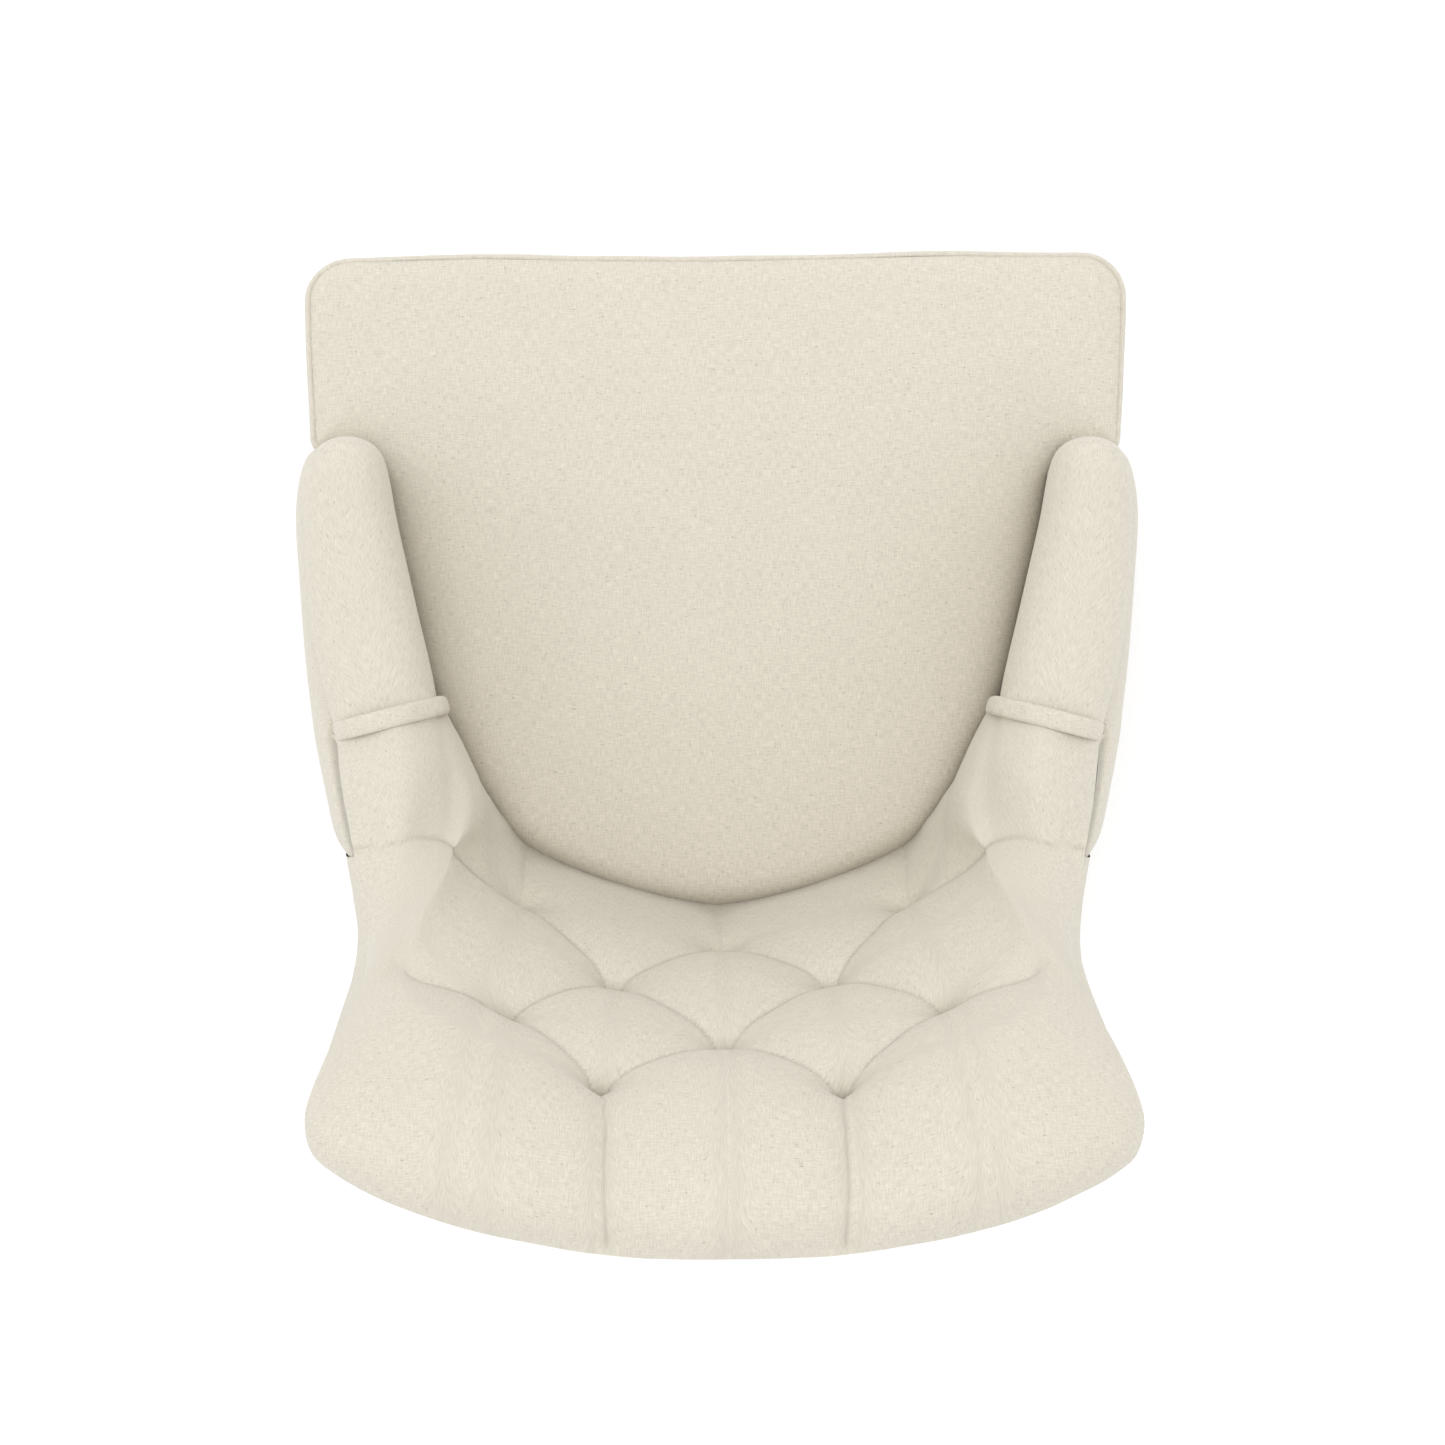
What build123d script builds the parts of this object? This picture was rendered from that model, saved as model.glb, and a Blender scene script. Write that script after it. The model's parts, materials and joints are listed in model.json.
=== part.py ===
"""Upholstered armchair with a fixed seat pad, padded arms and a diamond-tufted, flared back.

The chair faces -Y, with +Z up and the origin on the floor under the middle of its box, in millimetres.
Left and right are the sitter's, so the left side is at +X. Each right-hand piece mirrors the left one.
"""

import os
from math import cos, radians, sin, sqrt

from build123d import *

os.makedirs("parts", exist_ok=True)

# ---------------------------------------------------------------- driving dimensions
OVERALL_DEPTH = 750.0
OVERALL_HEIGHT = 940.0
CLOTH = 3.0  # cover cloth with its thin wadding
GAP = 0.4  # clearance between layers that are only pressed together

LEG_HEIGHT = 200.0
GLIDE_HEIGHT = 5.0
RAIL_HEIGHT = 90.0
RAIL_THICK = 25.0
RAIL_CORNER = 12.0
RAIL_TOP = LEG_HEIGHT + RAIL_HEIGHT

SEAT_HALF_WIDTH = 345.0  # over the side band of the seat pad
SEAT_FRONT = -OVERALL_DEPTH / 2
SEAT_TOP = 472.0
SEAT_PAD_BOTTOM = 352.0  # where the seat pad's band meets the front border
SEAT_DECK = 302.0
SEAT_CORNER = 28.0

ARM_FRONT = -203.0
ARM_TOP = 632.0
ARM_RAIL_BOTTOM = 560.0
ARM_RAIL_THICK = 22.0
ARM_RAIL_WIDTH = 30.0
ARM_PAD_THICK = 28.0  # padding on the inside of the arm

BAND_CENTRE = (257.0, 18.0)  # where the band crosses the arm, in plan
BAND_ANGLE = 20.4  # the band's turn from straight across, in plan
BAND_WIDTH = 15.0
BAND_PROUD = 5.0

POST_X = 200.0
POST_SLOPE = 0.243
POST_Y_AT_RAIL = 155.5
CREST_BOTTOM = 838.0
CREST_TOP = 872.0
CREST_FRONT = 308.0
CREST_RADIUS = 650.0
CREST_HALF = 219.0
CREST_THICK = 28.0
LOWER_RAIL_BOTTOM = 385.0
LOWER_RAIL_TOP = 440.0
LOWER_RAIL_FRONT = 226.0
WEBBING_FOOT = 215.0  # where the straps pass in front of the lower rail
LOWER_RAIL_RADIUS = 405.0

TUFT_PITCH = 80.0  # half the width of a diamond
TUFT_ROWS = ((825.0, (-1, 1)), (740.0, (-2, 0, 2)), (655.0, (-1, 1)), (570.0, (-2, 0, 2)))

SPRING_WIRE = 3.6
SPRING_PITCH = 72.0
SPRING_LOOP = 26.0

# Plan sections of the padded back, from its foot to its crest. Each one holds the height, then the inner
# curve's end and middle, the band-side corner, a point on the side, and the outer curve's end and middle.
BACK_SECTIONS = (
    (300.0, (207, 8), 167, (286, 37), (280, 115), (205, 188), 246),
    (480.0, (207, 8), 167, (290, 38), (284, 122), (215, 222), 282),
    (620.0, (214, 11), 192, (286, 37), (276, 125), (222, 252), 310),
    (700.0, (232, 110), 213, (260, 126), (266, 165), (232, 268), 326),
    (780.0, (243, 180), 238, (271, 200), (281, 235), (240, 286), 342),
    (860.0, (250, 228), 268, (284, 250), (293, 287), (255, 308), 358),
    (915.0, (225, 275), 296, (248, 292), (256, 314), (233, 331), 372),
    (OVERALL_HEIGHT, (170, 318), 330, (182, 324), (184, 334), (160, 346), 366),
)


def save(name, piece):
    """Labels a finished piece and writes it as one STEP file."""
    piece.label = name
    export_step(piece, f"parts/{name}.step")


def save_pair(name, left_piece):
    """Writes a left piece and its mirror image on the right."""
    save(f"left_{name}", left_piece)
    with BuildPart() as right:
        add(left_piece)
        mirror(about=Plane.YZ, mode=Mode.REPLACE)
    save(f"right_{name}", right.part)


def mirrored(piece):
    """The same piece on the other side of the chair."""
    return piece.mirror(Plane.YZ)


def arc_y(x, middle_y, radius):
    """Y on a plan curve that is furthest back at the middle and comes forward to the sides."""
    return middle_y - radius + sqrt(radius**2 - x**2)


def curved_board(front_y, thick, radius, half_length, bottom, top):
    """A board sawn to a curve in plan, standing on edge."""
    with BuildPart() as board:
        with BuildSketch(Plane.XY.offset(bottom)):
            with BuildLine():
                back_y = front_y + thick
                outer_end = (half_length, arc_y(half_length, back_y, radius))
                inner_end = (half_length, arc_y(half_length, front_y, radius - thick))
                ThreePointArc((-outer_end[0], outer_end[1]), (0, back_y), outer_end)
                Line(outer_end, inner_end)
                ThreePointArc(inner_end, (0, front_y), (-inner_end[0], inner_end[1]))
                Line((-inner_end[0], inner_end[1]), (-outer_end[0], outer_end[1]))
            make_face()
        extrude(amount=top - bottom)
    return board.part


# ---------------------------------------------------------------- seat frame
# Side rails run straight from the front corners and close in towards the back.
SIDE_RAIL_FRONT_X = 330.0
SIDE_RAIL_REAR_X = 268.0
SIDE_RAIL_FRONT_Y = -340.0
SIDE_RAIL_REAR_Y = 125.0

ARM_POST_X = 297.0
ARM_POST_Y = -170.0
ARM_POST_SIZE = (30.0, 45.0)
TENON = (12.0, 24.0, 30.0)

with BuildPart() as left_seat_rail:
    with BuildSketch(Plane.XY.offset(LEG_HEIGHT)):
        Polygon(
            (SIDE_RAIL_FRONT_X, SIDE_RAIL_FRONT_Y),
            (SIDE_RAIL_REAR_X, SIDE_RAIL_REAR_Y),
            (SIDE_RAIL_REAR_X - RAIL_THICK, SIDE_RAIL_REAR_Y),
            (SIDE_RAIL_FRONT_X - RAIL_THICK, SIDE_RAIL_FRONT_Y),
            align=None,
        )
    extrude(amount=RAIL_HEIGHT)
    # mortise for the arm post
    with Locations((ARM_POST_X, ARM_POST_Y, RAIL_TOP - TENON[2] / 2)):
        Box(*TENON, mode=Mode.SUBTRACT)

with BuildPart() as front_seat_rail:
    with Locations((0, SIDE_RAIL_FRONT_Y - RAIL_THICK / 2, LEG_HEIGHT + RAIL_HEIGHT / 2)):
        Box(2 * SIDE_RAIL_FRONT_X, RAIL_THICK, RAIL_HEIGHT)
    # The front corners are rounded so that they don't show or wear through the border.
    fillet(front_seat_rail.edges().filter_by(Axis.Z).group_by(Axis.Y)[0], radius=RAIL_CORNER)

REAR_RAIL_FRONT = 192.0
REAR_RAIL_THICK = 25.0
REAR_RAIL_RADIUS = 390.0
REAR_RAIL_HALF = 262.0
POST_TENON = (16.0, 18.0, 40.0)
POST_TENON_Y = 147.0
CREST_TENON = (POST_TENON[0], POST_TENON[1], CREST_TOP - CREST_BOTTOM)

with BuildPart() as rear_seat_rail:
    add(
        curved_board(
            REAR_RAIL_FRONT, REAR_RAIL_THICK, REAR_RAIL_RADIUS, REAR_RAIL_HALF, LEG_HEIGHT, RAIL_TOP
        )
    )
    add(left_seat_rail.part, mode=Mode.SUBTRACT)
    add(mirrored(left_seat_rail.part), mode=Mode.SUBTRACT)
    # The rail ends where it meets the side rails' inner faces.
    with BuildSketch(Plane.XY.offset(LEG_HEIGHT)):
        Rectangle(2 * (SIDE_RAIL_REAR_X - RAIL_THICK + 4), OVERALL_DEPTH)
    extrude(amount=RAIL_HEIGHT, mode=Mode.INTERSECT)
    # mortises for the back posts
    for post_side in (1, -1):
        with Locations((post_side * POST_X, POST_TENON_Y, RAIL_TOP - POST_TENON[2] / 2)):
            Box(*POST_TENON, mode=Mode.SUBTRACT)

# ---------------------------------------------------------------- legs, bolts and glides
UPWARD = (Align.CENTER, Align.CENTER, Align.MIN)  # a cylinder standing on its place
DOWNWARD = (Align.CENTER, Align.CENTER, Align.MAX)  # a cylinder hanging from its place
BLOCK_HEIGHT = 42.0
BOLT_RADIUS = 4.0
BOLT_LENGTH = 62.0
BOLT_INTO_LEG = 30.0
NUT_RADIUS = 5.5
NUT_LENGTH = 14.0
NUT_FLANGE_RADIUS = 10.0
NUT_FLANGE_THICK = 1.6
FRONT_LEG = (278.0, -312.0)
REAR_LEG = (208.0, 100.0)
REAR_LEG_FOOT = (216.0, 165.0)
LEG_TOP_SIZE = 46.0
LEG_FOOT_SIZE = 27.0
GLIDE_RADIUS = 10.0
LEG_PLACES = (FRONT_LEG, REAR_LEG)


def leg(top_place, foot_place):
    """A square tapered leg with a bolt hole in its top."""
    with BuildPart() as wood:
        with BuildSketch(Plane.XY.offset(GLIDE_HEIGHT)):
            with Locations(foot_place):
                RectangleRounded(LEG_FOOT_SIZE, LEG_FOOT_SIZE, 3)
        with BuildSketch(Plane.XY.offset(LEG_HEIGHT)):
            with Locations(top_place):
                RectangleRounded(LEG_TOP_SIZE, LEG_TOP_SIZE, 3)
        loft()
        with Locations((*top_place, LEG_HEIGHT - BOLT_INTO_LEG / 2)):
            Cylinder(BOLT_RADIUS, BOLT_INTO_LEG, mode=Mode.SUBTRACT)
    return wood.part


save_pair("front_leg", leg(FRONT_LEG, FRONT_LEG))
save_pair("rear_leg", leg(REAR_LEG, REAR_LEG_FOOT))

with BuildPart() as leg_glides:
    for foot_x, foot_y in (FRONT_LEG, REAR_LEG_FOOT):
        with Locations((foot_x, foot_y, 0), (-foot_x, foot_y, 0)):
            Cylinder(GLIDE_RADIUS, GLIDE_HEIGHT, align=(Align.CENTER, Align.CENTER, Align.MIN))
    chamfer(leg_glides.edges().group_by(Axis.Z)[0], 1.0)
save("leg_glides", leg_glides.part)

with BuildPart() as leg_bolts:
    for bolt_x, bolt_y in LEG_PLACES:
        with Locations(*[(side * bolt_x, bolt_y, LEG_HEIGHT - BOLT_INTO_LEG) for side in (1, -1)]):
            Cylinder(BOLT_RADIUS, BOLT_LENGTH, align=(Align.CENTER, Align.CENTER, Align.MIN))
save("leg_bolts", leg_bolts.part)

with BuildPart() as leg_nuts:
    for nut_x, nut_y in LEG_PLACES:
        with Locations(*[(side * nut_x, nut_y, LEG_HEIGHT + BLOCK_HEIGHT) for side in (1, -1)]):
            Cylinder(NUT_FLANGE_RADIUS, NUT_FLANGE_THICK, align=UPWARD)
            Cylinder(NUT_RADIUS, NUT_LENGTH, align=DOWNWARD)
            Cylinder(BOLT_RADIUS, 40, mode=Mode.SUBTRACT)
save("leg_nuts", leg_nuts.part)


def corner_block(points, bolt_place):
    """A glued block that holds a frame corner square and takes a leg bolt."""
    with BuildPart() as block:
        with BuildSketch(Plane.XY.offset(LEG_HEIGHT)):
            Polygon(*points, align=None)
        extrude(amount=BLOCK_HEIGHT)
        with Locations((*bolt_place, LEG_HEIGHT)):
            Cylinder(BOLT_RADIUS, BLOCK_HEIGHT, align=UPWARD, mode=Mode.SUBTRACT)
        with Locations((*bolt_place, LEG_HEIGHT + BLOCK_HEIGHT)):
            Cylinder(NUT_RADIUS, NUT_LENGTH, align=DOWNWARD, mode=Mode.SUBTRACT)
    return block.part


front_block = corner_block(((305, -340), (185, -340), (205, -300), (262, -240), (291.4, -238)), FRONT_LEG)
rear_block = corner_block(((252, 40), (247, 115), (205, 150), (130, 170), (130, 150)), REAR_LEG)

with BuildPart() as corner_blocks:
    for block in (front_block, rear_block):
        add(block)
        add(mirrored(block))
    add(rear_seat_rail.part, mode=Mode.SUBTRACT)
    add(left_seat_rail.part, mode=Mode.SUBTRACT)
    add(mirrored(left_seat_rail.part), mode=Mode.SUBTRACT)
save("corner_blocks", corner_blocks.part)

save_pair("seat_rail", left_seat_rail.part)
save("front_seat_rail", front_seat_rail.part)
save("rear_seat_rail", rear_seat_rail.part)

# ---------------------------------------------------------------- arm frame
with BuildPart() as left_arm_post:
    with Locations((ARM_POST_X, ARM_POST_Y, (RAIL_TOP + ARM_RAIL_BOTTOM) / 2)):
        Box(*ARM_POST_SIZE, ARM_RAIL_BOTTOM - RAIL_TOP)
    with Locations((ARM_POST_X, ARM_POST_Y, RAIL_TOP - TENON[2] / 2)):
        Box(*TENON)
save_pair("arm_post", left_arm_post.part)

ARM_RAIL_START = (299.0, -192.0)
ARM_RAIL_END = (217.0, 200.0)
ARM_RAIL_RUN = (ARM_RAIL_END[0] - ARM_RAIL_START[0], ARM_RAIL_END[1] - ARM_RAIL_START[1])
ARM_RAIL_PLANE = Plane(
    origin=(*ARM_RAIL_START, ARM_RAIL_BOTTOM),
    x_dir=(*ARM_RAIL_RUN, 0),
    z_dir=(0, 0, 1),
)
ARM_RAIL_LENGTH = sqrt(ARM_RAIL_RUN[0] ** 2 + ARM_RAIL_RUN[1] ** 2)

# ---------------------------------------------------------------- back frame
POST_WIDTH = 35.0
POST_DEPTH = 32.0


def post_y(z):
    """Middle of a back post at a height."""
    return POST_Y_AT_RAIL + POST_SLOPE * (z - RAIL_TOP)


with BuildPart() as left_back_post:
    with BuildSketch(Plane.YZ.offset(POST_X - POST_WIDTH / 2)):
        Polygon(
            (post_y(RAIL_TOP) - POST_DEPTH / 2, RAIL_TOP),
            (post_y(RAIL_TOP) + POST_DEPTH / 2, RAIL_TOP),
            (post_y(CREST_BOTTOM) + POST_DEPTH / 2, CREST_BOTTOM),
            (post_y(CREST_BOTTOM) - POST_DEPTH / 2, CREST_BOTTOM),
            align=None,
        )
    extrude(amount=POST_WIDTH)
    with Locations((POST_X, POST_TENON_Y, RAIL_TOP - POST_TENON[2] / 2)):
        Box(*POST_TENON)
    with Locations((POST_X, post_y(CREST_BOTTOM), (CREST_BOTTOM + CREST_TOP) / 2)):
        Box(*CREST_TENON)
save_pair("back_post", left_back_post.part)

with BuildPart() as left_arm_rail:
    with BuildSketch(ARM_RAIL_PLANE):
        Rectangle(ARM_RAIL_LENGTH, ARM_RAIL_WIDTH, align=(Align.MIN, Align.CENTER))
    extrude(amount=ARM_RAIL_THICK)
    add(left_back_post.part, mode=Mode.SUBTRACT)  # the rail is housed round the back post
    left_of_post = left_arm_rail.solids().sort_by(Axis.Y)[0]
save_pair("arm_rail", Part() + left_of_post)

with BuildPart() as crest_rail:
    add(curved_board(CREST_FRONT, CREST_THICK, CREST_RADIUS, CREST_HALF, CREST_BOTTOM, CREST_TOP))
    for post_side in (1, -1):
        with Locations((post_side * POST_X, post_y(CREST_BOTTOM), (CREST_BOTTOM + CREST_TOP) / 2)):
            Box(*CREST_TENON, mode=Mode.SUBTRACT)
save("crest_rail", crest_rail.part)

with BuildPart() as lower_back_rail:
    add(
        curved_board(
            LOWER_RAIL_FRONT,
            CREST_THICK,
            LOWER_RAIL_RADIUS,
            POST_X - POST_WIDTH / 2,
            LOWER_RAIL_BOTTOM,
            LOWER_RAIL_TOP,
        )
    )
save("lower_back_rail", lower_back_rail.part)

# Plywood wings carry the side padding from the arm rail up to the crest.
WING_THICK = 12.0
WING_X = POST_X + POST_WIDTH / 2
with BuildPart() as left_wing_board:
    with BuildSketch(Plane.YZ.offset(WING_X)):
        with BuildLine():
            foot_z = ARM_RAIL_BOTTOM + ARM_RAIL_THICK
            Spline((95, foot_z), (150, 660), (212, 760), (262, CREST_TOP - 20))
            Line((262, CREST_TOP - 20), (285, CREST_TOP - 20))
            Line((285, CREST_TOP - 20), (post_y(CREST_BOTTOM) - 16, CREST_BOTTOM))
            Line((post_y(CREST_BOTTOM) - 16, CREST_BOTTOM), (post_y(foot_z) - 6, foot_z))
            Line((post_y(foot_z) - 6, foot_z), (95, foot_z))
        make_face()
    extrude(amount=WING_THICK)
    add(crest_rail.part, mode=Mode.SUBTRACT)
save_pair("wing_board", left_wing_board.part)

# ---------------------------------------------------------------- seat springs and deck
SPRING_FRONT = SIDE_RAIL_FRONT_Y - 12
SPRING_STEP = 22.0
CLIP_WIDTH = 14.0
CLIP_LENGTH = 18.0
CLIP_THICK = 1.6
SPRING_Z = RAIL_TOP + CLIP_THICK + SPRING_WIRE / 2
SPRING_STEPS = {0: 25, 1: 25, 2: 24}  # crossings of each spring, by how far it is from the middle one


def spring_side(x, step):
    """Which side of its middle line a spring is on after a number of crossings."""
    inward = -1 if x >= 0 else 1
    return SPRING_LOOP * inward * (-1 if step % 2 else 1)


with BuildPart() as seat_springs:
    for column in (-2, -1, 0, 1, 2):
        spring_x = column * SPRING_PITCH
        corners = [(spring_x + spring_side(spring_x, 0), SPRING_FRONT, SPRING_Z)]
        for step in range(1, SPRING_STEPS[abs(column)]):
            y = SPRING_FRONT + step * SPRING_STEP
            corners.append((spring_x + spring_side(spring_x, step - 1), y, SPRING_Z))
            corners.append((spring_x + spring_side(spring_x, step), y, SPRING_Z))
        corners.append((corners[-1][0], SPRING_FRONT + SPRING_STEPS[abs(column)] * SPRING_STEP, SPRING_Z))
        with BuildLine() as wire:
            FilletPolyline(*corners, radius=SPRING_STEP * 0.45)
        with BuildSketch(Plane(origin=wire.line @ 0, z_dir=wire.line % 0)):
            Circle(SPRING_WIRE / 2)
        sweep(path=wire.line)
save("seat_springs", seat_springs.part)


def clip(x, end_y, inward):
    """A folded clip on the rail round the end of a spring. It closes at the end and opens inward."""
    middle_y = end_y + inward * CLIP_LENGTH / 2
    with Locations((x, middle_y, RAIL_TOP + CLIP_THICK / 2)):
        Box(CLIP_WIDTH, CLIP_LENGTH, CLIP_THICK)
    with Locations((x, middle_y, RAIL_TOP + 1.5 * CLIP_THICK + SPRING_WIRE)):
        Box(CLIP_WIDTH, CLIP_LENGTH, CLIP_THICK)
    with Locations((x, end_y - inward * CLIP_THICK / 2, RAIL_TOP + CLIP_THICK + SPRING_WIRE / 2)):
        Box(CLIP_WIDTH, CLIP_THICK, SPRING_WIRE + 2 * CLIP_THICK)


with BuildPart() as spring_clips:
    for column in (-2, -1, 0, 1, 2):
        spring_x = column * SPRING_PITCH
        steps = SPRING_STEPS[abs(column)]
        clip(spring_x + spring_side(spring_x, 0), SPRING_FRONT, 1)
        clip(spring_x + spring_side(spring_x, steps - 1), SPRING_FRONT + steps * SPRING_STEP, -1)
save("spring_clips", spring_clips.part)


def seat_outline(grow):
    """Plan of the seat pad: full width in front of the arms, then narrowing between them to a round back."""
    ear_x = SEAT_HALF_WIDTH + grow
    front_y = SEAT_FRONT - grow
    ear_y = ARM_FRONT - CLOTH - 2 + grow
    neck = (251 + grow, ear_y)
    waist = (234 + grow, -95)
    hip = (210 + grow, 2)
    back_y = 164 + grow
    with BuildSketch() as outline:
        with BuildLine():
            Polyline(
                (-neck[0], ear_y),
                (-ear_x + 8, ear_y),
                (-ear_x, front_y),
                (ear_x, front_y),
                (ear_x - 8, ear_y),
                neck,
            )
            ThreePointArc(neck, waist, hip)
            ThreePointArc(hip, (0, back_y), (-hip[0], hip[1]))
            ThreePointArc((-hip[0], hip[1]), (-waist[0], waist[1]), (-neck[0], ear_y))
        make_face()
        fillet(outline.vertices().group_by(Axis.Y)[0], SEAT_CORNER)
    return outline.sketch


with BuildPart() as seat_deck_cloth:
    add(seat_outline(-22).moved(Location((0, 0, SEAT_DECK - 2))))
    extrude(amount=1.5)
save("seat_deck_cloth", seat_deck_cloth.part)

with BuildPart() as seat_foam:
    add(seat_outline(-CLOTH - GAP).moved(Location((0, 0, SEAT_DECK))))
    extrude(amount=SEAT_TOP - CLOTH - SEAT_DECK)
    fillet(seat_foam.faces().sort_by(Axis.Z)[-1].edges(), 8)
save("seat_foam", seat_foam.part)

with BuildPart() as seat_top_panel:
    add(seat_outline(-CLOTH).moved(Location((0, 0, SEAT_TOP - CLOTH + GAP))))
    extrude(amount=CLOTH - GAP)
save("seat_top_panel", seat_top_panel.part)


def front_strip(bottom, top):
    """A strip of cloth round the front and the two ears of the seat, between two heights."""
    with BuildPart() as strip:
        with BuildSketch(Plane.XY.offset(bottom)):
            add(seat_outline(0))
            add(seat_outline(-CLOTH), mode=Mode.SUBTRACT)
        extrude(amount=top - bottom)
        # The strip turns in behind the ears and stops at the arms.
        strip_end = ARM_FRONT - CLOTH - 2
        with BuildSketch(Plane.XY.offset(bottom)):
            with Locations((0, (SEAT_FRONT + strip_end) / 2)):
                Rectangle(3 * SEAT_HALF_WIDTH, strip_end - SEAT_FRONT)
        extrude(amount=top - bottom, mode=Mode.INTERSECT)
    return strip.part


save("seat_side_band", front_strip(SEAT_PAD_BOTTOM, SEAT_TOP))

with BuildPart() as front_border:
    add(front_strip(LEG_HEIGHT + 3, SEAT_PAD_BOTTOM - GAP))
    add(left_seat_rail.part, mode=Mode.SUBTRACT)
    add(mirrored(left_seat_rail.part), mode=Mode.SUBTRACT)
save("front_border", front_border.part)

# ---------------------------------------------------------------- arms
BAND_PLANE = Plane(
    origin=(*BAND_CENTRE, 0), x_dir=(cos(radians(BAND_ANGLE)), sin(radians(BAND_ANGLE)), 0), z_dir=(0, 0, 1)
)


def arm_outline(grow):
    """Plan of the arm pad, from its rounded nose back to the band."""
    nose_y = ARM_FRONT - grow
    outer = ((316 + grow, nose_y), (320 + grow, -100), (303 + grow, 45))
    inner = ((258 - grow, nose_y), (241 - grow, -95), (216 - grow, 25))
    with BuildSketch() as outline:
        with BuildLine():
            ThreePointArc(*outer)
            Line(outer[2], inner[2])
            ThreePointArc(inner[2], inner[1], inner[0])
            Line(inner[0], outer[0])
        make_face()
        fillet(outline.vertices().group_by(Axis.Y)[0], 24)
        # The arm ends at the front face of the band.
        with BuildSketch(BAND_PLANE, mode=Mode.PRIVATE) as behind:
            with Locations((0, 100 - BAND_WIDTH / 2 - GAP)):
                Rectangle(300, 200)
        add(behind.sketch, mode=Mode.SUBTRACT)
    return outline.sketch


def arm_solid(grow, foot_z):
    """The arm as a solid block with a rounded top."""
    with BuildPart() as block:
        add(arm_outline(grow).moved(Location((0, 0, foot_z))))
        extrude(amount=ARM_TOP - CLOTH + grow - foot_z)
        # every edge of the top but the short one at the back
        top_edges = block.faces().sort_by(Axis.Z)[-1].edges()
        fillet(top_edges.filter_by(lambda edge: edge.center().Y < -2 or edge.length > 90), 18 + grow)
    return block.part


ARM_FOOT = 305.0
ARM_SHOULDER = ARM_RAIL_BOTTOM + ARM_RAIL_THICK
with BuildPart() as left_arm_core:
    add(arm_solid(0, ARM_FOOT))

with BuildPart() as left_arm_foam:
    add(left_arm_core.part)
    # room for the wooden arm: everything outside the inner padding and below the arm rail's top
    with BuildSketch(Plane.XY.offset(ARM_FOOT - 10)):
        with BuildLine():
            Polyline((290, -196), (272, -95), (244, 60), (400, 60), (400, -196), (290, -196))
        make_face()
    extrude(amount=ARM_SHOULDER + GAP - ARM_FOOT + 10, mode=Mode.SUBTRACT)
    add(left_arm_rail.part, mode=Mode.SUBTRACT)
    add(left_arm_post.part, mode=Mode.SUBTRACT)
save_pair("arm_foam", left_arm_foam.part)

with BuildPart() as left_arm_cover:
    add(arm_solid(CLOTH, ARM_FOOT))
    add(arm_solid(GAP, ARM_FOOT - 5), mode=Mode.SUBTRACT)
    # The outer wall below the arm's shoulder belongs to the outer arm panel.
    with BuildSketch(Plane.XY.offset(ARM_FOOT - 10)):
        with BuildLine():
            Polyline((300, -190), (290, 80), (400, 80), (400, -190), (300, -190))
        make_face()
    extrude(amount=ARM_SHOULDER - ARM_FOOT + 10, mode=Mode.SUBTRACT)
    add(left_arm_foam.part, mode=Mode.SUBTRACT)
save_pair("arm_cover", left_arm_cover.part)


def arm_arch(grow):
    """Cross-section of the arm where the band crosses it, in the band's own upright plane."""
    half = 41 + grow
    top = ARM_TOP + grow
    with BuildSketch() as arch:
        with BuildLine():
            Polyline((-half, 482), (-half, top), (half, top), (half, 482), (-half, 482))
        make_face()
        fillet(arch.vertices().group_by(Axis.Y)[-1], 24 + grow)
    return arch.sketch


BAND_UPRIGHT = Plane(
    origin=(*BAND_CENTRE, 0),
    x_dir=(cos(radians(BAND_ANGLE)), sin(radians(BAND_ANGLE)), 0),
    z_dir=(sin(radians(BAND_ANGLE)), -cos(radians(BAND_ANGLE)), 0),
)
with BuildPart() as left_arm_band:
    with BuildSketch(BAND_UPRIGHT):
        add(arm_arch(BAND_PROUD))
        add(arm_arch(-8), mode=Mode.SUBTRACT)
    extrude(amount=BAND_WIDTH / 2 - GAP, both=True)
save_pair("arm_band", left_arm_band.part)

OUTER_ARM_SECTIONS = (
    (LEG_HEIGHT + 3, (319, -188), (322, -60), (290, 140)),
    (450.0, (319, -188), (329, -60), (293, 140)),
    (ARM_SHOULDER - 1, (319, -188), (322, -80), (289, 134)),
)
with BuildPart() as left_outer_arm_panel:
    for height, front_point, middle_point, rear_point in OUTER_ARM_SECTIONS:
        with BuildSketch(Plane.XY.offset(height)):
            with BuildLine():
                outer_points = (front_point, middle_point, rear_point)
                inner_points = [(x - CLOTH, y) for x, y in outer_points]
                ThreePointArc(*outer_points)
                Line(outer_points[2], inner_points[2])
                ThreePointArc(*reversed(inner_points))
                Line(inner_points[0], outer_points[0])
            make_face()
    loft()
save_pair("outer_arm_panel", left_outer_arm_panel.part)


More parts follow.
